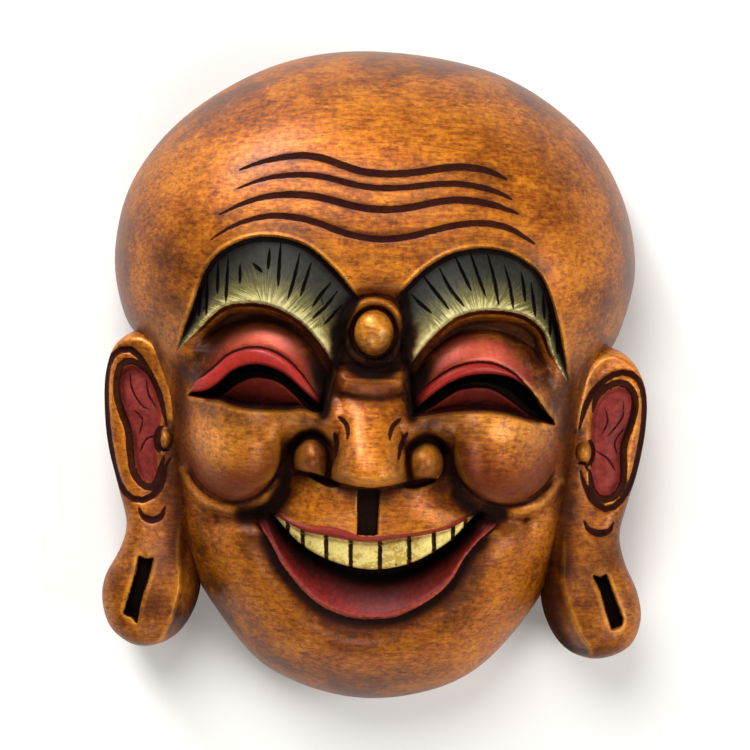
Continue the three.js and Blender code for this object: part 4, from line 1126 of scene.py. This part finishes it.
# %% A tree that sweeps a tool along strokes
def parting_tool():
    tree = bpy.data.node_groups.new("parting tool", "GeometryNodeTree")
    face = tree.interface
    face.new_socket("Strokes", in_out="INPUT", socket_type="NodeSocketGeometry")
    for name, value in (("Half Width", 0.0008), ("Deepness", 1.2), ("Thin Start", 0.5), ("Thin End", 0.2)):
        face.new_socket(name, in_out="INPUT", socket_type="NodeSocketFloat").default_value = value
    face.new_socket("Paint", in_out="INPUT", socket_type="NodeSocketMaterial")
    face.new_socket("Tool", in_out="OUTPUT", socket_type="NodeSocketGeometry")
    nodes, link = tree.nodes, tree.links.new
    given, made = nodes.new("NodeGroupInput"), nodes.new("NodeGroupOutput")

    curve, upright = nodes.new("GeometryNodeMeshToCurve"), nodes.new("GeometryNodeSetCurveNormal")
    upright.mode = "Z_UP"
    link(given.outputs["Strokes"], curve.inputs["Mesh"])
    link(curve.outputs["Curve"], upright.inputs["Curve"])

    square, shape = nodes.new("GeometryNodeCurvePrimitiveCircle"), nodes.new("GeometryNodeTransform")
    square.inputs["Resolution"].default_value = 4
    square.inputs["Radius"].default_value = 1.0
    stretch = nodes.new("ShaderNodeCombineXYZ")
    stretch.inputs["X"].default_value = stretch.inputs["Z"].default_value = 1.0
    link(given.outputs["Deepness"], stretch.inputs["Y"])
    link(square.outputs["Curve"], shape.inputs["Geometry"])
    link(stretch.outputs["Vector"], shape.inputs["Scale"])

    along, from_end = nodes.new("GeometryNodeSplineParameter"), nodes.new("ShaderNodeMath")
    from_end.operation = "SUBTRACT"
    from_end.inputs[0].default_value = 1.0
    link(along.outputs["Factor"], from_end.inputs[1])
    width = given.outputs["Half Width"]
    for part, thin_share in ((along.outputs["Factor"], "Thin Start"), (from_end.outputs[0], "Thin End")):
        swelling, times = nodes.new("ShaderNodeMapRange"), nodes.new("ShaderNodeMath")
        swelling.interpolation_type = "SMOOTHSTEP"
        swelling.inputs["To Min"].default_value = THIN_TIP
        times.operation = "MULTIPLY"
        link(part, swelling.inputs["Value"])
        link(given.outputs[thin_share], swelling.inputs["From Max"])
        link(swelling.outputs["Result"], times.inputs[0])
        link(width, times.inputs[1])
        width = times.outputs[0]

    sweep = nodes.new("GeometryNodeCurveToMesh")
    sweep.inputs["Fill Caps"].default_value = True
    real, dress = nodes.new("GeometryNodeRealizeInstances"), nodes.new("GeometryNodeSetMaterial")
    link(upright.outputs["Curve"], sweep.inputs["Curve"])
    link(shape.outputs["Geometry"], sweep.inputs["Profile Curve"])
    link(width, sweep.inputs["Scale"])
    link(sweep.outputs["Mesh"], real.inputs["Geometry"])
    link(real.outputs["Geometry"], dress.inputs["Geometry"])
    link(given.outputs["Paint"], dress.inputs["Material"])
    link(dress.outputs["Geometry"], made.inputs["Tool"])
    return tree


THIN_TIP = 0.3
tool_tree = parting_tool()
gilded = bpy.data.materials.new("gilded wood")
print("tree:", tool_tree.name, "with", len(tool_tree.nodes), "nodes")


# %% Cut the hairs and the gaps
def cut_strokes(name, strokes, settings):
    """Draws strokes on the surface, lets the tree make tools of them, and cuts them out."""
    points, edges = [], []
    for stroke in strokes:
        spots = line(stroke, 12) * FACE_SHARE
        first = len(points)
        points += np.c_[spots, head_front(spots[:, 0], spots[:, 1])].tolist()
        edges += [(first + i, first + i + 1) for i in range(len(spots) - 1)]
    mesh = bpy.data.meshes.new(name)
    mesh.from_pydata((np.array(points) * MM).tolist(), edges, [])
    tool = place_object(name, mesh)
    step = tool.modifiers.new("tool", "NODES")
    step.node_group = tool_tree
    sockets = {item.name: item.identifier for item in tool_tree.interface.items_tree if item.in_out == "INPUT"}
    for key, value in settings.items():
        step[sockets[key]] = value
    settle(tool, name)
    cut_with(tool)


cut_strokes("hairs", HAIRS, {"Half Width": HAIR_HALF * MM, "Deepness": 1.1, "Thin Start": 0.5, "Thin End": 0.25,
                             "Paint": gilded})
print("with hairs:", len(mask.data.polygons), "faces")
cut_strokes("gaps", gaps, {"Half Width": GAP_HALF * MM, "Deepness": 1.4, "Thin Start": 0.02, "Thin End": 0.02,
                           "Paint": gilded})
print("with tooth gaps:", len(mask.data.polygons), "faces")

# %% [markdown]
# ## Handing the paint over to the solid
#
# Each point of the mesh reads the boards at its place: the ear's boards if it lies on an ear, else the face's. What
# lies on neither is a side, the back or the hollow, which stay without paint. The numbers are kept as attributes,
# which the material reads. Then the whole is centred on its own box, as the frame is.

# %% Attributes of the points
count = len(mask.data.vertices)
co = np.empty(count * 3, dtype=np.float32)
mask.data.vertices.foreach_get("co", co)
facing = np.empty(count * 3, dtype=np.float32)
mask.data.vertex_normals.foreach_get("vector", facing)
x, y, z = (co.reshape(-1, 3) / MM).T
facing = facing.reshape(-1, 3)
FAR_OFF = 99.0
off_head = np.abs(z - head_front(x, y))
off_ear = np.full(count, FAR_OFF)
for ear, depths in zip(EARS, ear_depths):
    inside = read(depths, x, y) > -0.3
    off_ear[inside] = np.abs(z - ear_front(ear, depths, x, y))[inside]
on_ear = off_ear < off_head
PAINTED_WITHIN, SIDE_UMBER_AND_SHADE = 3.0, 0.85
unpainted = np.minimum(off_head, off_ear) > PAINTED_WITHIN
head_in = depth_inside(HEAD, head_depth, x, y)
in_back = ((head_in > 6.0) & unpainted & (off_ear == FAR_OFF)) | (facing[:, 2] < -0.4) | (z < 0.3)
in_slit = np.zeros(count, dtype=bool)
for eye in EYES:
    hole = np.vstack([line(eye["upper"]), line(eye["lower"])[::-1]])
    in_slit |= within(hole, x / FACE_SHARE, y / FACE_SHARE) > -0.6
in_slit &= unpainted & (head_in > 0) & (off_ear == FAR_OFF)
for name in (*PAINTS, *WASHES, "sunk", "near"):
    empty = OFF if name in PAINTS else 0.0
    value = np.where(on_ear, read(ear_paint[name], x, y), read(face_paint[name], x, y))
    value = np.where(unpainted | in_back, empty, value).astype(np.float32)
    # The sides get umber: brown wash and painted shade where the head turns away.
    if name == "umber_and_shade":
        value[unpainted & ~in_back] = SIDE_UMBER_AND_SHADE
    # The walls of the eye slits get the mouth's black: black paint and painted shade in the slits.
    if name == "gullet":
        value[in_slit] = -OFF
    mask.data.attributes.new(name, "FLOAT", "POINT").data.foreach_set("value", value)
bare = mask.data.attributes.new("bare", "FLOAT", "POINT")
bare.data.foreach_set("value", (in_back & ~in_slit).astype(np.float32))
low, high = co.reshape(-1, 3).min(0), co.reshape(-1, 3).max(0)
middle = (low + high) / 2
mask.data.vertices.foreach_set("co", (co.reshape(-1, 3) - [middle[0], middle[1], low[2]]).astype(np.float32).ravel())
mask.data.shade_smooth()
mask.data.set_sharp_from_angle(angle=math.radians(38))
mask.data.update()
print("box of the drawing:", (low / MM).round(2), (high / MM).round(2))
print(int(in_back.sum()), "of", count, "points are bare,", int(on_ear.sum()), "are on the ears")

# %% [markdown]
# ## Paint
#
# The painter works in layers, and so does the material. The gold ground lies first, warm and uneven, with brush
# streaks. The opaque paints follow, each inside its own shape. A black-brown glaze is wiped over all of it and stays
# in every cut and corner, where it also serves as painted shade, and at the end the proud edges are rubbed until the
# gold shines again.


# %% Helpers for shader trees
def rgb(r, g, b):
    """A colour as it is seen on screen, 0 to 255, turned into the linear values that shaders use."""
    parts = [c / 255 for c in (r, g, b)]
    return (*[c / 12.92 if c <= 0.04045 else ((c + 0.055) / 1.055) ** 2.4 for c in parts], 1.0)


def shader_group(name, inputs, outputs):
    tree = bpy.data.node_groups.new(name, "ShaderNodeTree")
    kinds = {float: "NodeSocketFloat", tuple: "NodeSocketColor"}
    for key, value in inputs.items():
        socket = tree.interface.new_socket(key, in_out="INPUT", socket_type=kinds[type(value)])
        socket.default_value = value
    for key, kind in outputs.items():
        tree.interface.new_socket(key, in_out="OUTPUT", socket_type=kinds[kind])
    return tree, tree.nodes.new("NodeGroupInput").outputs, tree.nodes.new("NodeGroupOutput").inputs


def add(tree, kind, settings=None, **wires):
    """Adds a node, sets its properties, and gives each input a value or a wire. A name's _ stands for a space."""
    node = tree.nodes.new(kind)
    for key, value in (settings or {}).items():
        setattr(node, key, value)
    for key, value in wires.items():
        key = int(key[1:]) if key[0] == "i" and key[1:].isdigit() else key.replace("_", " ")
        if isinstance(value, bpy.types.NodeSocket):
            tree.links.new(value, node.inputs[key])
        else:
            node.inputs[key].default_value = value
    return node


def maths(tree, operation, a, b=0.0, clamp=False):
    return add(tree, "ShaderNodeMath", {"operation": operation, "use_clamp": clamp}, i0=a, i1=b).outputs[0]


def ramp_of(tree, value, low, high, to_low=0.0, to_high=1.0):
    """A value eased from one end to the other; low may be the larger number."""
    settings = {"interpolation_type": "SMOOTHSTEP"}
    wires = dict(Value=value, From_Min=low, From_Max=high, To_Min=to_low, To_Max=to_high)
    return add(tree, "ShaderNodeMapRange", settings, **wires).outputs["Result"]


def blend(tree, share, under, over, way="MIX"):
    node = tree.nodes.new("ShaderNodeMix")
    node.data_type, node.blend_type = "RGBA", way
    for socket, value in ((node.inputs[0], share), (node.inputs[6], under), (node.inputs[7], over)):
        if isinstance(value, bpy.types.NodeSocket):
            tree.links.new(value, socket)
        else:
            socket.default_value = value
    return node.outputs[2]


def towards(tree, share, value, target):
    """A number moved towards another by a share."""
    step = maths(tree, "MULTIPLY", maths(tree, "SUBTRACT", target, value), share)
    return maths(tree, "ADD", value, step)


def colours_along(tree, value, stops):
    node = add(tree, "ShaderNodeValToRGB", Fac=value)
    marks = node.color_ramp.elements
    while len(marks) < len(stops):
        marks.new(0.5)
    for mark, (place, colour) in zip(marks, stops):
        mark.position, mark.color = place, colour
    return node.outputs["Color"]


# %% Brushwork: streaks, patches and specks that run over the whole piece
def brushwork():
    outputs = {"Streaks": float, "Patches": float, "Fine": float, "Specks": float, "Stains": float, "Cracks": float,
               "Scratches": float}
    tree, given, made = shader_group("brushwork", {"Size": 1.0}, outputs)
    where = add(tree, "ShaderNodeTexCoord").outputs["Object"]
    place = add(tree, "ShaderNodeVectorMath", {"operation": "SCALE"}, Vector=where, Scale=given["Size"]).outputs[0]
    slant = (0.0, 0.0, math.radians(-12.0))
    long = add(tree, "ShaderNodeMapping", Vector=place, Rotation=slant, Scale=(0.2, 1.0, 0.5)).outputs[0]
    streaks = add(tree, "ShaderNodeTexNoise", Vector=long, Scale=760.0, Detail=5.0, Roughness=0.7).outputs[0]
    scratches = add(tree, "ShaderNodeTexNoise", Vector=long, Scale=150.0, Detail=3.0, Distortion=0.8).outputs[0]
    scratches = maths(tree, "ABSOLUTE", maths(tree, "SUBTRACT", scratches, 0.5))
    patches = add(tree, "ShaderNodeTexNoise", Vector=place, Scale=38.0, Detail=8.0, Roughness=0.72).outputs[0]
    fine = add(tree, "ShaderNodeTexNoise", Vector=place, Scale=420.0, Detail=4.0, Roughness=0.6).outputs[0]
    specks = add(tree, "ShaderNodeTexNoise", Vector=place, Scale=300.0, Detail=2.0, Roughness=0.5).outputs[0]
    stains = add(tree, "ShaderNodeTexNoise", Vector=place, Scale=24.0, Detail=8.0, Roughness=0.74).outputs[0]
    veins = add(tree, "ShaderNodeTexNoise", Vector=place, Scale=60.0, Detail=5.0, Roughness=0.6, Distortion=0.6).outputs[0]
    veins = maths(tree, "ABSOLUTE", maths(tree, "SUBTRACT", veins, 0.5))
    for key, value, low, high in (("Streaks", streaks, 0.3, 0.7), ("Patches", patches, 0.3, 0.7),
                                  ("Fine", fine, 0.3, 0.7), ("Specks", specks, 0.7, 0.76),
                                  ("Stains", stains, 0.52, 0.7), ("Cracks", veins, 0.006, 0.0),
                                  ("Scratches", scratches, 0.01, 0.0)):
        tree.links.new(ramp_of(tree, value, low, high), made[key])
    return tree


BRUSHWORK = brushwork()
print("brushwork puts out", [s.name for s in BRUSHWORK.interface.items_tree if s.in_out == "OUTPUT"])


# %% One layer of opaque paint
def paint_layer():
    """Paint inside a shape: Depth is in millimetres, and Ragged how far the edge strays."""
    inputs = {"Under": rgb(200, 130, 50), "Paint": rgb(150, 40, 40), "Depth": OFF, "Grain": 0.5, "Ragged": 0.4,
              "Uneven": 0.35, "Cover": 1.0}
    tree, given, made = shader_group("paint layer", inputs, {"Color": tuple, "Mask": float})
    grain = maths(tree, "SUBTRACT", given["Grain"], 0.5)
    stray = maths(tree, "MULTIPLY", grain, given["Ragged"])
    inside = ramp_of(tree, maths(tree, "ADD", given["Depth"], stray), -0.18, 0.18)
    mask_share = maths(tree, "MULTIPLY", inside, given["Cover"])
    light = maths(tree, "ADD", maths(tree, "MULTIPLY", grain, given["Uneven"]), 1.0)
    paint = add(tree, "ShaderNodeVectorMath", {"operation": "SCALE"}, Vector=given["Paint"], Scale=light).outputs[0]
    tree.links.new(blend(tree, mask_share, given["Under"], paint), made["Color"])
    tree.links.new(mask_share, made["Mask"])
    return tree


# %% The dark glaze with painted shade, and the rubbed edges
def glaze_with_shade():
    inputs = {"Color": rgb(200, 130, 50), "Sunk": 0.0, "Near": 0.0, "Glaze": 0.0, "Grain": 0.5, "Strength": 1.0}
    tree, given, made = shader_group("glaze with painted shade", inputs, {"Color": tuple, "Mask": float})
    # Cuts and hollows are darkened as glaze would stay in them: partly the mask's own glaze, partly painted shade.
    corners = ramp_of(tree, given["Sunk"], 0.04, 0.6, 0.0, 0.85)
    hollows = ramp_of(tree, given["Near"], 0.05, 0.75, 0.0, 0.66)
    held = maths(tree, "MAXIMUM", corners, hollows)
    held = maths(tree, "MAXIMUM", held, given["Glaze"])
    wiped = ramp_of(tree, given["Grain"], 0.0, 1.0, 0.75, 1.1)
    share = maths(tree, "MULTIPLY", maths(tree, "MULTIPLY", held, wiped), given["Strength"], clamp=True)
    darkened = blend(tree, share, given["Color"], GLAZE_SHADE_TINT, "MULTIPLY")
    # Strong shares turn almost black: painted shadow in the deepest places.
    deep = ramp_of(tree, share, 0.3, 0.95, 0.0, 0.97)
    tree.links.new(blend(tree, deep, darkened, GLAZE_SHADE_DARK), made["Color"])
    tree.links.new(share, made["Mask"])
    return tree


def rubbed_edges():
    inputs = {"Color": rgb(200, 130, 50), "Bright": rgb(235, 175, 80), "Sunk": 0.0, "Grain": 0.5, "Strength": 0.6}
    tree, given, made = shader_group("rubbed edges", inputs, {"Color": tuple, "Mask": float})
    proud = ramp_of(tree, given["Sunk"], -0.06, -0.5)
    share = maths(tree, "MULTIPLY", maths(tree, "MULTIPLY", proud, given["Strength"]), given["Grain"], clamp=True)
    tree.links.new(blend(tree, share, given["Color"], given["Bright"]), made["Color"])
    tree.links.new(share, made["Mask"])
    return tree


# The tint and the near black of the glaze, which also serve as painted shade.
GLAZE_SHADE_TINT, GLAZE_SHADE_DARK = rgb(150, 92, 66), rgb(17, 8, 6)
PAINT_LAYER, GLAZE_WITH_SHADE, RUBBED = paint_layer(), glaze_with_shade(), rubbed_edges()
print("groups:", [g.name for g in bpy.data.node_groups])

# %% [markdown]
# ### The material
#
# Gold that is painted browner towards the sides of the head, partly as painted shade, maroon with painted shade
# under the cheeks, painted highlights on the cheeks, nose and bead, and then the paints one after another, from the
# widest to the finest: brows, lids, lips, teeth, ears, and the black-brown of every drawn line.

# %% Gilded and painted wood
gilded.use_nodes = True
tree = gilded.node_tree
tree.nodes.clear()
brush = add(tree, "ShaderNodeGroup", {"node_tree": BRUSHWORK}, Size=1.0).outputs
reads = {}
for name in (*PAINTS, *WASHES, "sunk", "near", "bare"):
    reads[name] = add(tree, "ShaderNodeAttribute", {"attribute_name": name}).outputs["Fac"]

GOLD_DEEP, GOLD_MID, GOLD_LIGHT = rgb(106, 46, 9), rgb(164, 86, 14), rgb(208, 128, 28)
PATCHES_SHARE, STREAKS_SHARE, FINE_SHARE = 0.34, 0.38, 0.28
tone = maths(tree, "ADD", maths(tree, "MULTIPLY", brush["Patches"], PATCHES_SHARE),
             maths(tree, "MULTIPLY", brush["Streaks"], STREAKS_SHARE))
tone = maths(tree, "ADD", tone, maths(tree, "MULTIPLY", brush["Fine"], FINE_SHARE))
colour = colours_along(tree, tone, [(0.15, GOLD_DEEP), (0.45, GOLD_MID), (0.85, GOLD_LIGHT)])
uneven = ramp_of(tree, brush["Patches"], 0.0, 0.9, 1.15, 0.55)
# Umber: brown wash and painted shade, patchy.
umber_and_shade_share = maths(tree, "MULTIPLY", maths(tree, "MULTIPLY", reads["umber_and_shade"], uneven), 0.92, clamp=True)
colour = blend(tree, umber_and_shade_share, colour, rgb(62, 27, 11))
colour = blend(tree, maths(tree, "MULTIPLY", brush["Stains"], 0.55), colour, rgb(56, 27, 11))
# Maroon under the cheeks, darker towards their bottom as painted shade, and on the wings and roll.
colour = blend(tree, maths(tree, "MULTIPLY", reads["maroon_and_shade"], 0.85), colour, rgb(98, 36, 18))
# Gilt: rubbed gold and painted highlights.
gilt_and_highlight_share = maths(tree, "MULTIPLY", reads["gilt_and_highlight"], ramp_of(tree, tone, 0.2, 0.75, 0.25, 0.85))
colour = blend(tree, gilt_and_highlight_share, colour, rgb(238, 152, 46))
# The lid runs from dark red to a lighter coral: a painted highlight.
lid_share = maths(tree, "MULTIPLY", reads["lid"], ramp_of(tree, brush["Fine"], 0.0, 1.0, 0.82, 1.0), clamp=True)
lid = blend(tree, reads["lid_highlight"], rgb(138, 42, 24), rgb(216, 94, 66))
colour = blend(tree, lid_share, colour, lid)

run = maths(tree, "MULTIPLY", reads["brow_run"], 90.0)
where = add(tree, "ShaderNodeCombineXYZ", X=run, Y=reads["brow_fall"]).outputs[0]
hair = add(tree, "ShaderNodeTexNoise", Vector=where, Scale=1.6, Detail=3.0, Roughness=0.7).outputs[0]
hair = ramp_of(tree, hair, 0.3, 0.7, -0.13, 0.13)
fall = maths(tree, "ADD", reads["brow_fall"], hair)
BROW_STOPS = [(0.0, rgb(34, 34, 32)), (0.5, rgb(48, 46, 37)), (0.8, rgb(102, 94, 52)), (0.98, rgb(184, 173, 116))]
brow = colours_along(tree, fall, BROW_STOPS)
# The lower lip runs from near black at the mouth to a light edge: painted shadow under the teeth and a painted
# highlight on the edge, over the lip's own red.
LIP_STOPS = [(0.05, rgb(20, 7, 7)), (0.4, rgb(74, 18, 17)), (0.84, rgb(118, 30, 26)), (0.98, rgb(164, 76, 58))]
lip = colours_along(tree, reads["lip_rise"], LIP_STOPS)
mottled = ramp_of(tree, maths(tree, "MULTIPLY", brush["Fine"], brush["Patches"]), 0.1, 0.55, 0.0, 0.85)
teeth = blend(tree, mottled, rgb(238, 216, 128), rgb(164, 128, 48))
teeth = blend(tree, brush["Specks"], teeth, rgb(84, 58, 24))
shell = blend(tree, brush["Patches"], rgb(90, 28, 25), rgb(142, 56, 48))
GLOSS = 0.34
LAYERS = [
    ("brow", brow, 0.7, 0.4, 0.16), ("rim", rgb(146, 36, 29), 0.3, 0.3, 0.3), ("under", rgb(86, 25, 16), 0.3, 0.3, 0.1),
    ("upper_lip", rgb(124, 38, 28), 0.4, 0.3, 0.2), ("gullet", rgb(10, 4, 4), 0.2, 0.3, 0.0),
    ("teeth", teeth, 0.2, 0.4, 0.2), ("lip", lip, 0.3, 0.6, 0.3), ("shell", shell, 0.6, 0.4, 0.05),
    ("slate", rgb(24, 12, 9), 0.5, 0.5, 0.0),
]
masks, paint_mask, gloss = {}, 0.0, GLOSS
for name, paint, ragged, uneven, shine in LAYERS:
    layer = add(tree, "ShaderNodeGroup", {"node_tree": PAINT_LAYER}, Under=colour, Paint=paint, Depth=reads[name],
                Grain=brush["Fine"], Ragged=ragged, Uneven=uneven, Cover=1.0).outputs
    colour = layer["Color"]
    gloss = towards(tree, layer["Mask"], gloss, shine)
    masks[name] = layer["Mask"]
    paint_mask = maths(tree, "MAXIMUM", paint_mask, layer["Mask"])
cleaner = maths(tree, "MAXIMUM", maths(tree, "MAXIMUM", masks["teeth"], masks["shell"]), reads["lid"])
held_there = maths(tree, "SUBTRACT", 1.0, maths(tree, "MULTIPLY", cleaner, 0.6))
# The glaze darkens cuts, corners and hollows: partly the mask's glaze, partly painted shade.
glazed_and_shaded = add(tree, "ShaderNodeGroup", {"node_tree": GLAZE_WITH_SHADE}, Color=colour,
             Sunk=maths(tree, "MULTIPLY", reads["sunk"], held_there),
             Near=maths(tree, "MULTIPLY", reads["near"], held_there),
             Glaze=reads["glaze"], Grain=brush["Patches"], Strength=0.95).outputs
gold_left = maths(tree, "SUBTRACT", 1.0, paint_mask)
wiped_gold = maths(tree, "MULTIPLY", gold_left, maths(tree, "SUBTRACT", 1.0, glazed_and_shaded["Mask"]))
rub = maths(tree, "MULTIPLY", wiped_gold, brush["Patches"])
rubbed = add(tree, "ShaderNodeGroup", {"node_tree": RUBBED}, Color=glazed_and_shaded["Color"], Bright=rgb(228, 152, 44),
             Sunk=reads["sunk"], Grain=rub, Strength=0.42).outputs
ink_paint = blend(tree, masks["brow"], rgb(34, 10, 10), rgb(9, 7, 6))
ink = add(tree, "ShaderNodeGroup", {"node_tree": PAINT_LAYER}, Under=rubbed["Color"], Paint=ink_paint, Depth=reads["ink"],
          Grain=brush["Fine"], Ragged=0.35, Uneven=0.4, Cover=0.96).outputs
thin_lines = maths(tree, "ADD", maths(tree, "MULTIPLY", brush["Cracks"], brush["Stains"]),
                   maths(tree, "MULTIPLY", brush["Scratches"], brush["Patches"]), clamp=True)
worn = maths(tree, "MULTIPLY", thin_lines, gold_left)
marks = maths(tree, "MAXIMUM", maths(tree, "MULTIPLY", brush["Specks"], 0.4), maths(tree, "MULTIPLY", worn, 0.9))
colour = blend(tree, marks, ink["Color"], rgb(40, 18, 8))
wood = blend(tree, brush["Streaks"], rgb(58, 34, 22), rgb(96, 60, 38))
colour = blend(tree, reads["bare"], colour, wood)

dull = maths(tree, "MAXIMUM", maths(tree, "MAXIMUM", ink["Mask"], glazed_and_shaded["Mask"]), reads["bare"])
dull = maths(tree, "MAXIMUM", maths(tree, "MAXIMUM", masks["gullet"], masks["slate"]), dull)
covered = maths(tree, "MAXIMUM", dull, paint_mask)
metal = ramp_of(tree, covered, 0.0, 0.8, 0.35, 0.0)
rough = ramp_of(tree, brush["Patches"], 0.0, 1.0, 0.36, 0.5)
rough = maths(tree, "ADD", rough, ramp_of(tree, dull, 0.1, 0.9, 0.0, 0.34))
gloss = maths(tree, "MULTIPLY", gloss, ramp_of(tree, reads["maroon_and_shade"], 0.0, 1.0, 1.0, 0.5))
polished = maths(tree, "MAXIMUM", reads["gilt_and_highlight"], maths(tree, "MULTIPLY", reads["lid"], reads["lid_highlight"]))
gloss = maths(tree, "ADD", gloss, maths(tree, "MULTIPLY", polished, 0.3))
coat = maths(tree, "MULTIPLY", gloss, ramp_of(tree, dull, 0.1, 0.8, 1.0, 0.0))
height = maths(tree, "ADD", maths(tree, "MULTIPLY", brush["Streaks"], 0.6), brush["Fine"])
bump = add(tree, "ShaderNodeBump", Height=height, Strength=0.22, Distance=0.0003).outputs[0]
shader = add(tree, "ShaderNodeBsdfPrincipled", Base_Color=colour, Metallic=metal, Roughness=rough, Normal=bump,
             Coat_Weight=coat, Coat_Roughness=0.38, Specular_IOR_Level=0.03)
add(tree, "ShaderNodeOutputMaterial", Surface=shader.outputs[0])
mask.data.materials.clear()
mask.data.materials.append(gilded)
mask.data.polygons.foreach_set("material_index", np.zeros(len(mask.data.polygons), dtype=np.int32))
print("the material has", len(tree.nodes), "nodes")

# %% [markdown]
# ## Floor, light and camera
#
# The mask lies on its back rim on a plain pale floor, and the camera looks straight down on it, as the photograph
# does. The photographed mask is turned a little clockwise, so the camera is turned the other way. A large soft light
# stands at the upper left.

# %% Stage
FLOOR_WIDE = 6.0
half = FLOOR_WIDE / 2
plane = bpy.data.meshes.new("floor")
plane.from_pydata([(-half, -half, 0), (half, -half, 0), (half, half, 0), (-half, half, 0)], [], [(0, 1, 2, 3)])
floor = place_object("floor", plane)
pale = bpy.data.materials.new("pale floor")
pale.use_nodes = True
pale_shader = pale.node_tree.nodes["Principled BSDF"]
soft = add(pale.node_tree, "ShaderNodeTexNoise", Scale=40.0, Detail=3.0).outputs[0]
pale.node_tree.links.new(blend(pale.node_tree, soft, rgb(228, 226, 222), rgb(234, 232, 229)),
                         pale_shader.inputs["Base Color"])
pale_shader.inputs["Roughness"].default_value = 0.8
plane.materials.append(pale)


def soft_light(name, place, wide, power, aim=(0.0, 0.0, 0.05)):
    lamp = bpy.data.lights.new(name, "AREA")
    lamp.shape, lamp.size, lamp.energy = "DISK", wide, power
    thing = bpy.data.objects.new(name, lamp)
    thing.location = place
    thing.rotation_euler = (Vector(aim) - Vector(place)).to_track_quat("-Z", "Y").to_euler()
    bpy.context.scene.collection.objects.link(thing)


soft_light("window", (-1.0, 1.6, 0.8), 0.8, 42.0)
soft_light("sky", (-0.5, 1.3, 2.1), 1.7, 48.0)
soft_light("fill", (1.5, -0.3, 1.2), 1.2, 28.0)
soft_light("low", (-0.3, -1.5, 1.4), 1.2, 15.0)
world = bpy.data.worlds.new("room")
world.use_nodes = True
world.node_tree.nodes["Background"].inputs["Color"].default_value = (1.0, 1.0, 1.0, 1.0)
world.node_tree.nodes["Background"].inputs["Strength"].default_value = 0.1
bpy.context.scene.world = world
bpy.context.scene.view_settings.view_transform = "Standard"

# %% Camera
CAMERA_HIGH, SENSOR, FIELD, ROLL = 2.27, 36.0, 0.349, math.radians(1.8)
lens = bpy.data.cameras.new("camera")
lens.sensor_width = SENSOR
lens.lens = SENSOR * (CAMERA_HIGH - WIDEST * MM) / FIELD
camera = bpy.data.objects.new("camera", lens)
camera.location = (-0.0007, 0.0, CAMERA_HIGH)
camera.rotation_euler = (0.0, 0.0, ROLL)
bpy.context.scene.collection.objects.link(camera)
bpy.context.scene.camera = camera
print("lens", round(lens.lens), "mm from", CAMERA_HIGH, "m")

# %% Hand over to the frame
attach(mask, "root")
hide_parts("mask")
